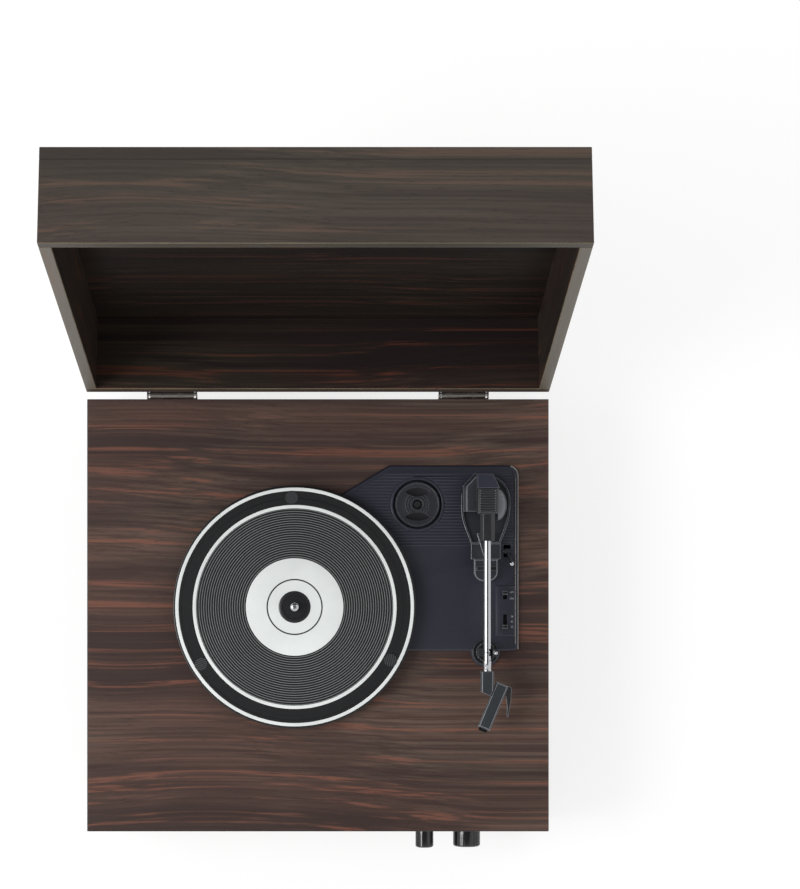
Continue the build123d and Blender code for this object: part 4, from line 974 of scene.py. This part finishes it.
def make_deck_pieces():
    # The deck's bevels carry a painted highlight, except along the front edge and low down, where they keep
    # the plain deck colour.
    softened("deck_cover", "deck_plate", deck_plastic, "cabinet", 0.18, deck_edge_highlight,
             bare=lambda centre: centre.y < deck_front + 3.0 or centre.z < deck_z - 0.5)
    bend_x, bend_y = deck_right - 8.0, deck_back - 8.0
    bend = 7.6
    outer_z, inner_z = deck_z - 0.6, deck_z + 0.85
    outer = []
    for angle in range(75, -1, -15):
        turn = math.radians(angle)
        outer.append((bend_x + bend * math.cos(turn), bend_y + bend * math.sin(turn), outer_z))
    outer.append((bend_x + bend, deck_front + 1.5, outer_z))
    inner = [(deck_right - 2.5, bend_y - 2.0, inner_z), (deck_right - 2.5, deck_front + 6.0, inner_z)]
    # The pale beads along the right rim carry a painted highlight on its outer and inner edges.
    beads = []
    for places, radius in ((outer, 0.00042), (inner, 0.00022)):
        beads.append(grown("rim_highlight_bead", bead_on_path, path_seed("rim_path", places), Bead_Radius=radius,
                           Material=rim_highlight_bead))
    joined("rim_beads", beads, rim_highlight_bead, "cabinet", angle=50)
    # The switch panel's bevels also take the painted highlight tone.
    softened("switch_cover", "switch_panel", deck_plastic, "cabinet", 0.12, deck_edge_highlight)
    x, y = adapter_place
    # The knurl ridges take the painted highlight tone.
    knurl = grown("cup_knurl", ridges_round, Ridges=84, Ring_Radius=0.0203, Depth=0.0013, Width=0.0007,
                  Height=0.0006, Place=(x * mm, y * mm, (deck_z + 0.75) * mm), Material=deck_edge_highlight)
    joined("cup_knurl", [knurl], deck_edge_highlight, "cabinet")
    make_adapter_piece()
    # The buttons' bevels take the painted highlight tone.
    for name, node, body in (("auto_stop_button", "auto_stop_slider", "auto_stop_switch"),
                             ("speed_button", "speed_slider", "speed_switch")):
        softened(name, node, block_plastic, body, 0.12, arm_edge_highlight)


def lens_prism(side, low, high):
    """A lens between two arcs, beside the adapter's hub. side is 1 behind the hub and -1 before it."""
    x, y = adapter_place
    near, near_radius = side * 21.2, 15.0
    far, far_radius = side * -5.0, 18.0
    apart = abs(near - far)
    reach = (apart ** 2 + far_radius ** 2 - near_radius ** 2) / (2 * apart)
    half = math.sqrt(far_radius ** 2 - reach ** 2)
    steps = 24
    face = []
    for centre, radius, sign in ((far, far_radius, side), (near, near_radius, -side)):
        width = math.asin(half / radius)
        for step in range(steps):
            angle = width - 2 * width * step / steps
            turn = angle if sign == side else -angle
            face.append((x + radius * math.sin(turn), y + centre + sign * radius * math.cos(turn)))
    form = bmesh.new()
    lower = [form.verts.new((px * mm, py * mm, low * mm)) for px, py in face]
    upper = [form.verts.new((px * mm, py * mm, high * mm)) for px, py in face]
    form.faces.new(lower)
    form.faces.new(upper)
    for index in range(len(face)):
        after = (index + 1) % len(face)
        form.faces.new((lower[index], lower[after], upper[after], upper[index]))
    return linked("lens", mesh_from(form))


def make_adapter_piece():
    """Adapter for large-hole records: ridges round its hub and a finger recess at each side."""
    low, face = (corner[2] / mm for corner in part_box("record_adapter"))
    lip = face - 0.3
    step = face - 0.6
    profile = [(3.65, low), (18.85, low), (18.85, face - 3.4), (17.5, face - 2.9), (17.5, face - 0.55),
               (17.0, face), (16.5, face), (16.2, lip), (9.7, lip), (9.5, face), (9.0, face), (8.8, step),
               (7.7, step), (7.5, face - 0.15), (7.0, face - 0.15), (6.8, face - 0.8), (5.5, face - 0.8),
               (5.3, lip), (4.8, lip), (4.6, face - 1.1), (3.65, face - 1.1)]
    form = bmesh.new()
    turn_profile(form, profile, adapter_place, 96)
    body = linked("adapter_rough", mesh_from(form))
    # The adapter's bevels take the painted highlight tone, and its finger recesses the painted shade tone
    # that the cutters pass on.
    for finish in (arm_plastic, arm_edge_highlight, recess_painted_shade):
        body.data.materials.append(finish)
    cutters = []
    for side in (-1, 1):
        cutter = lens_prism(side, face - 2.6, face + 2.0)
        cutter.data.materials.append(recess_painted_shade)
        cut = body.modifiers.new("finger_recess", "BOOLEAN")
        cut.operation = "DIFFERENCE"
        cut.object = cutter
        cut.solver = "EXACT"
        cut.material_mode = "TRANSFER"
        cutters.append(cutter)
    break_edges(body, 0.14, 1)
    finished = plain_mesh(body)
    for cutter in cutters:
        bpy.data.objects.remove(cutter)
    smooth(finished, 28)
    dress(linked("adapter", finished), None, "adapter", ("record_adapter",))
    cup_floor, post_top = deck_z - 7.0, face - 1.3
    post = [(0, cup_floor), (2.9, cup_floor), (2.9, face - 1.7), (2.5, post_top), (0, post_top)]
    turned_piece("cup_post", [(post, adapter_place)], block_plastic, "cabinet", (), 48)


def make_marks():
    """Numbers and words at the two switches, as flat raised print."""
    z = (deck_z + 1.1) * mm
    thickness = 0.00003
    words = (("33", 152.2, -9.6, 2.0), ("45", 152.2, -5.6, 2.0), ("78", 152.2, -1.6, 2.0),
             ("ON", 152.1, 12.6, 1.9), ("OFF", 152.1, 17.4, 1.9))
    form = bmesh.new()
    for word, x, y, size in words:
        curve = bpy.data.curves.new(word, "FONT")
        curve.body = word
        curve.size = size * mm
        curve.align_x = "CENTER"
        curve.extrude = thickness
        mesh = plain_mesh(linked(word, curve))
        mesh.transform(Matrix.Translation((x * mm, (y + back_shift) * mm, z + thickness)))
        form.from_mesh(mesh)
    bmesh.ops.remove_doubles(form, verts=form.verts, dist=0.0000005)
    piece = linked("switch_marks", mesh_from(form))
    dress(piece, white_mark, "cabinet")


# Tone arm


def bulge_foot(form):
    """Swells the straight sides of the arm base into the curve that runs from pivot to waist."""
    back, front = pivot_y - 1.0, pivot_y - 34.6
    steps = 12
    swell = 0.13
    neck_half = 7.0
    sliced(form, 1, [(back + (front - back) * step / steps) * mm for step in range(1, steps)])
    for vert in form.verts:
        share = (vert.co.y / mm - back) / (front - back)
        across = vert.co.x / mm - arm_x
        if 0.0 < share < 1.0 and abs(across) > neck_half:
            vert.co.x = (arm_x + across * (1.0 + swell * math.sin(math.pi * share) ** 1.3)) * mm


def round_cheek(form):
    """Rounds the right cheek over, lengthwise and down to its outer side."""
    inner, middle, half, width = arm_x + 8.3, pivot_y - 4.5, 12.0, 7.4
    drop = 4.2
    lengthwise = (-0.85, -0.6, -0.35, -0.1, 0.1, 0.35, 0.6, 0.85)
    sliced(form, 1, [(middle + half * place) * mm for place in lengthwise])
    sliced(form, 0, [(inner + width * place) * mm for place in (0.3, 0.55, 0.8)])
    for vert in form.verts:
        across = vert.co.x / mm - inner
        along = (vert.co.y / mm - middle) / half
        if across <= 0.05 or abs(along) > 1.05:
            continue
        wanted = math.sqrt(max(0.0, 1.0 - along ** 2))
        room = min(1.0, wanted * half / width)
        if room > 0.01:
            vert.co.x = (inner + across * min(1.0, wanted / room)) * mm
        if vert.co.z / mm > case_top_z + 14.0:
            vert.co.z -= drop * (across / width) ** 2 * mm


def make_arm_pieces():
    # The light bevel colour on the arm's pieces is a painted highlight along their edges.
    softened("arm_foot", "arm_base", arm_plastic, "cabinet", 0.25, arm_edge_highlight,
             reshape=bulge_foot)
    cheeks = softened("arm_cheeks", "arm_yoke", arm_plastic, "arm_carriage", 0.22, arm_edge_highlight,
                      reshape=round_cheek)
    # The top of the right cheek is painted lighter: painted light where the rounded cheek catches the lamp.
    cheek_x, cheek_z = arm_x + 8.6, case_top_z + 12.0
    repainted(cheeks, cheek_painted_light, lambda centre: centre.x > cheek_x and centre.z > cheek_z)
    # The pivot block's bevels carry the rest's painted highlight tone.
    softened("pivot_block", "arm_block", block_plastic, "arm", 0.15, rest_edge_highlight)
    ends = []
    # The rib ends on the block's top take the painted highlight tone.
    for side in (-5.9, 5.9):
        ends.append(grown("rib_ends", row_of_bars, Bars=9, Pitch=0.00193, Bar_Size=(0.0006, 0.0007, 0.0005),
                          Place=((arm_x + side) * mm, (pivot_y - 9.6) * mm, (case_top_z + 34.45) * mm),
                          Turn=(0.0, 0.0, math.radians(90)), Material=arm_edge_highlight))
    joined("block_rib_ends", ends, arm_edge_highlight, "arm")
    softened("weight_cap", "arm_cap", cap_plastic, "arm", 0.22, arm_edge_highlight)
    softened("shell", "headshell", shell_plastic, "arm", 0.2, arm_edge_highlight)
    softened("pickup", "cartridge", black_and_recess_shade, "arm", 0.3)
    softened("finger_tab", "finger_lift", dark_plastic, "arm", 0.2, arm_edge_highlight)
    make_tube_piece()
    # The rest's bevels carry a painted highlight.
    softened("rest_stand", "arm_rest", rest_plastic, "cabinet", 0.16, rest_edge_highlight)
    # The rest's ribs take the painted highlight tone.
    ribs = grown("rest_ribs", ridges_round, Ridges=20, Ring_Radius=0.0071, Depth=0.0006, Width=0.0008,
                 Height=0.0062, Place=(arm_x * mm, rest_y * mm, (deck_z + 5.4) * mm), Material=arm_edge_highlight)
    joined("rest_ribs", [ribs], arm_edge_highlight, "cabinet")
    handle = softened("cue_handle", "cue_lever", arm_plastic, "cue_handle", 0.1)
    tip_z = case_top_z + 10.2
    repainted(handle, chrome_bright, lambda centre: centre.z > tip_z)
    softened("cue_bar", "cue_lifter", block_plastic, "cue_platform", 0.15, arm_edge_highlight)
    softened("latch_hook", "rest_latch", chrome_bright, "latch", 0.08)


def make_tube_piece():
    """The chrome tube, with the banded collar that sits behind the headshell."""
    front, collar, neck = -34.9 + back_shift, -43.4 + back_shift, 57.8 + back_shift
    tube_radius = 2.9
    groove_radius, band_radius = 3.1, 3.35
    tube = [(0, front + 0.02), (tube_radius, front + 0.02), (tube_radius, neck), (0, neck)]
    sleeve = [(0, collar), (3.0, collar), (band_radius, collar + 0.35), (band_radius, collar + 2.2),
              (groove_radius, collar + 2.5), (groove_radius, collar + 3.1), (band_radius, collar + 3.4),
              (band_radius, front - 0.35), (3.0, front), (0, front)]
    centre = (arm_x, arm_z)
    turned_piece("chrome_tube", [(tube, centre), (sleeve, centre)], chrome_bright, "arm",
                 ("arm_tube",), 64, "Y", 40)


# Front controls, sockets and speakers


def make_knobs():
    shaft_end = front_y + 17.0
    for name, body, node, x, radius, reach, ridges in (
            ("volume_dial", "volume_control", "volume_knob", 119.4, 10.9, 15.9, 48),
            ("selector_dial", "selector_control", "selector_knob", 85.5, 7.25, 16.8, 32)):
        face = front_y - reach
        back = front_y - 2.6
        waist = radius - 0.35
        profile = [(0, face + 0.5), (radius - 3.2, face + 0.5), (radius - 2.6, face + 0.1),
                   (radius - 1.4, face), (radius - 0.7, face + 0.35), (waist, face + 1.0),
                   (waist, back - 0.9), (radius, back - 0.6), (radius, back), (3.0, back),
                   (3.0, shaft_end), (0, shaft_end)]
        form = bmesh.new()
        turn_profile(form, profile, (x, control_z), 96, "Y")
        flutes = grown(name + "_flutes", ridges_round, Ridges=ridges, Ring_Radius=(waist - 0.02) * mm,
                       Depth=0.0006, Width=0.0007, Height=(reach - 5.0) * mm,
                       Place=(x * mm, (face + back) / 2 * mm, control_z * mm),
                       Turn=(math.radians(90), 0.0, 0.0), Material=knob_gloss)
        form.from_mesh(flutes)
        dress(linked(name, mesh_from(form)), knob_gloss, body, (node,))
        low, high = radius * 0.45, radius * 0.9
        middle = (x * mm, (face + 0.42) * mm, (control_z + (low + high) / 2) * mm)
        size = (0.0008, 0.0003, (high - low) * mm * 0.7, 1.0)
        mark = bmesh.new()
        bmesh.ops.create_cube(mark, size=1.0, matrix=Matrix.Translation(middle) @ Matrix.Diagonal(size))
        dress(linked(name + "_mark", mesh_from(mark)), white_mark, body)


def make_socket_pieces():
    """The coloured ring in the mouth of each line socket."""
    plate, flange, neck, barrel = 1.5, 1.0, 0.4, 8.0
    reach = rear_y + plate + flange + neck + barrel
    back, face = reach - 0.6, reach + 0.12
    ring = [(1.7, back), (3.3, back), (3.3, face), (1.7, face)]
    for name, x, finish in (("line_out_red", 115.0, red_insert), ("line_out_white", 101.0, white_insert)):
        turned_piece(name, [(ring, (x, control_z))], finish, "cabinet", (), 48, "Y")


def make_speaker_pieces():
    centre = (-40.0 + back_shift, control_z)
    cloth_radius = 29.5
    for side, name in ((-1, "left_cloth"), (1, "right_cloth")):
        inner = side * (half_width - 3.2)
        outer = side * (half_width - 2.6)
        disc = [(0, inner), (cloth_radius, inner), (cloth_radius, outer), (0, outer)]
        turned_piece(name, [(disc, centre)], speaker_cloth, "cabinet", (), 96, "X")


def make_screw_crosses():
    """Cross recesses in the screws of the hinges, of the feet and of the case floor, as thin black crosses of
    painted shade.
    """
    leaf, screw_head = 1.2, 0.9
    knuckle_radius, knuckle_gap, leaf_height = 3.9, 0.25, 20.0
    cross_y = rear_y + leaf + screw_head - 0.1
    height = (knuckle_radius + knuckle_gap + leaf_height) / 2
    screws = [centre + side for centre in hinge_centres for side in (-hinge_screw_reach, hinge_screw_reach)]
    upright = math.radians(90)
    case_seed = point_seed("case_cross_points", [(x, cross_y, hinge_z - height) for x in screws])
    case_crosses = grown("case_crosses", crosses_on_points, case_seed, Lean=(upright, 0.0, 0.0),
                         Material=black_and_recess_shade)
    corners = [(right, rear) for right in (-1, 1) for rear in (-1, 1)]
    feet = [(right * 151.5, rear * 140.0 + back_shift, 3.35) for right, rear in corners]
    floor = [(right * 163.5, rear * 152.0 + back_shift, 6.35) for right, rear in corners]
    under = grown("floor_crosses", crosses_on_points, point_seed("floor_cross_points", feet + floor),
                  Material=black_and_recess_shade)
    joined("case_screw_crosses", [case_crosses, under], black_and_recess_shade, "cabinet")
    spot = Vector((0, cross_y - hinge_y, height))
    spot.rotate(Matrix.Rotation(-open_angle, 3, "X"))
    lid_seed = point_seed("lid_cross_points", [(x, spot.y + hinge_y, spot.z + hinge_z) for x in screws])
    lid_crosses = grown("lid_crosses", crosses_on_points, lid_seed, Lean=(upright - open_angle, 0.0, 0.0),
                        Material=black_and_recess_shade)
    joined("lid_screw_crosses", [lid_crosses], black_and_recess_shade, "lid")


def dress_kept_nodes():
    """Finishes of the CAD nodes that are seen as they are."""
    finishes = {
        "case_floor": fibreboard, "corner_blocks": fibreboard, "case_screws": plated_steel,
        "rubber_feet": black_rubber, "speaker_grilles": dark_plastic, "speakers": cone_paper,
        "hinge_case_leaves": hinge_steel, "hinge_lid_leaves": hinge_steel, "pivot_pins": plated_steel,
        "motor": plated_steel, "motor_grommets": black_rubber, "drive_belt": belt_rubber,
        "motor_pulley": oiled_brass, "platter_bush": oiled_brass, "arm_pins": plated_steel,
        "arm_weight": plated_steel, "arm_sleeve": chrome_dark, "stylus": white_insert,
        "switch_bodies": dark_plastic, "control_bodies": plated_steel, "headphone_jack": dark_plastic,
        "power_lamp": lamp_red, "socket_plate": dark_plastic, "rear_sockets": plated_steel,
        "amplifier": circuit_green}
    for node, finish in finishes.items():
        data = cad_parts[node].data
        data.materials.clear()
        data.materials.append(finish)


# Floor and light


def make_floor():
    """A white floor that keeps the soft shadow and looks as pale as the backdrop."""
    material, tree, shader = blank_material("pale_floor")
    place = object_place(tree)
    cloud = math_node(tree, "MULTIPLY", noise(tree, stretched(tree, place, (1.2, 1.2, 1.2)), 2.0), 0.2)
    tree.links.new(mixed(tree, cloud, tone(250, 251, 252), tone(244, 247, 247)), shader.inputs["Base Color"])
    shader.inputs["Roughness"].default_value = 0.7
    shader.inputs["Specular IOR Level"].default_value = 0.1
    shaded = tree.nodes.new("ShaderNodeBsdfDiffuse")
    shaded.inputs["Color"].default_value = (0.3, 0.3, 0.3, 1.0)
    glow = tree.nodes.new("ShaderNodeEmission")
    glow.inputs["Strength"].default_value = 0.74
    both = tree.nodes.new("ShaderNodeAddShader")
    tree.links.new(shaded.outputs[0], both.inputs[0])
    tree.links.new(glow.outputs[0], both.inputs[1])
    mix = tree.nodes.new("ShaderNodeMixShader")
    tree.links.new(seen_rays(tree), mix.inputs[0])
    tree.links.new(shader.outputs[0], mix.inputs[1])
    tree.links.new(both.outputs[0], mix.inputs[2])
    tree.links.new(mix.outputs[0], tree.nodes["Material Output"].inputs["Surface"])
    form = bmesh.new()
    bmesh.ops.create_grid(form, x_segments=1, y_segments=1, size=6.0)
    floor = linked("pale_floor", mesh_from(form, recalculate=False))
    floor.data.materials.append(material)


def seen_rays(tree):
    """1 where the camera, a reflection or a clear material looks."""
    path = tree.nodes.new("ShaderNodeLightPath")
    camera_or_gloss = math_node(tree, "ADD", path.outputs["Is Camera Ray"], path.outputs["Is Glossy Ray"])
    return math_node(tree, "ADD", camera_or_gloss, path.outputs["Is Transmission Ray"], clamp=True)


def make_light():
    """A white studio, darker straight overhead where the camera hangs, and one soft window at the left."""
    white = (1.0, 1.0, 1.0, 1.0)
    overhead_grey = (0.22, 0.22, 0.23, 1.0)
    patch_start, patch_full = 0.82, 0.89
    world = bpy.data.worlds.new("studio")
    bpy.context.scene.world = world
    world.use_nodes = True
    tree = world.node_tree
    nodes = tree.nodes
    height = nodes.new("ShaderNodeSeparateXYZ")
    tree.links.new(nodes.new("ShaderNodeTexCoord").outputs["Generated"], height.inputs[0])
    overhead = stepped(tree, height.outputs["Z"], patch_start, patch_full)
    ground = nodes["Background"]
    tree.links.new(mixed(tree, overhead, white, overhead_grey), ground.inputs["Color"])
    ground.inputs["Strength"].default_value = 0.96
    seen = nodes.new("ShaderNodeBackground")
    seen.inputs["Color"].default_value = white
    path = nodes.new("ShaderNodeLightPath")
    mix = nodes.new("ShaderNodeMixShader")
    tree.links.new(path.outputs["Is Camera Ray"], mix.inputs[0])
    tree.links.new(ground.outputs[0], mix.inputs[1])
    tree.links.new(seen.outputs[0], mix.inputs[2])
    tree.links.new(mix.outputs[0], nodes["World Output"].inputs["Surface"])
    data = bpy.data.lights.new("window_left", "AREA")
    data.shape = "DISK"
    data.size = 1.3
    data.energy = 30.0
    lamp = bpy.data.objects.new("window_left", data)
    lamp.location = (-1.7, -0.2, 1.9)
    aim = Vector((0.0, 0.0, 0.1)) - lamp.location
    lamp.rotation_euler = aim.to_track_quat("-Z", "Y").to_euler()
    bpy.context.scene.collection.objects.link(lamp)


make_case_pieces()
make_platter_pieces()
make_deck_pieces()
make_marks()
make_arm_pieces()
make_knobs()
make_socket_pieces()
make_speaker_pieces()
make_screw_crosses()
dress_kept_nodes()
make_floor()
make_light()

bpy.context.scene.view_settings.view_transform = "Standard"
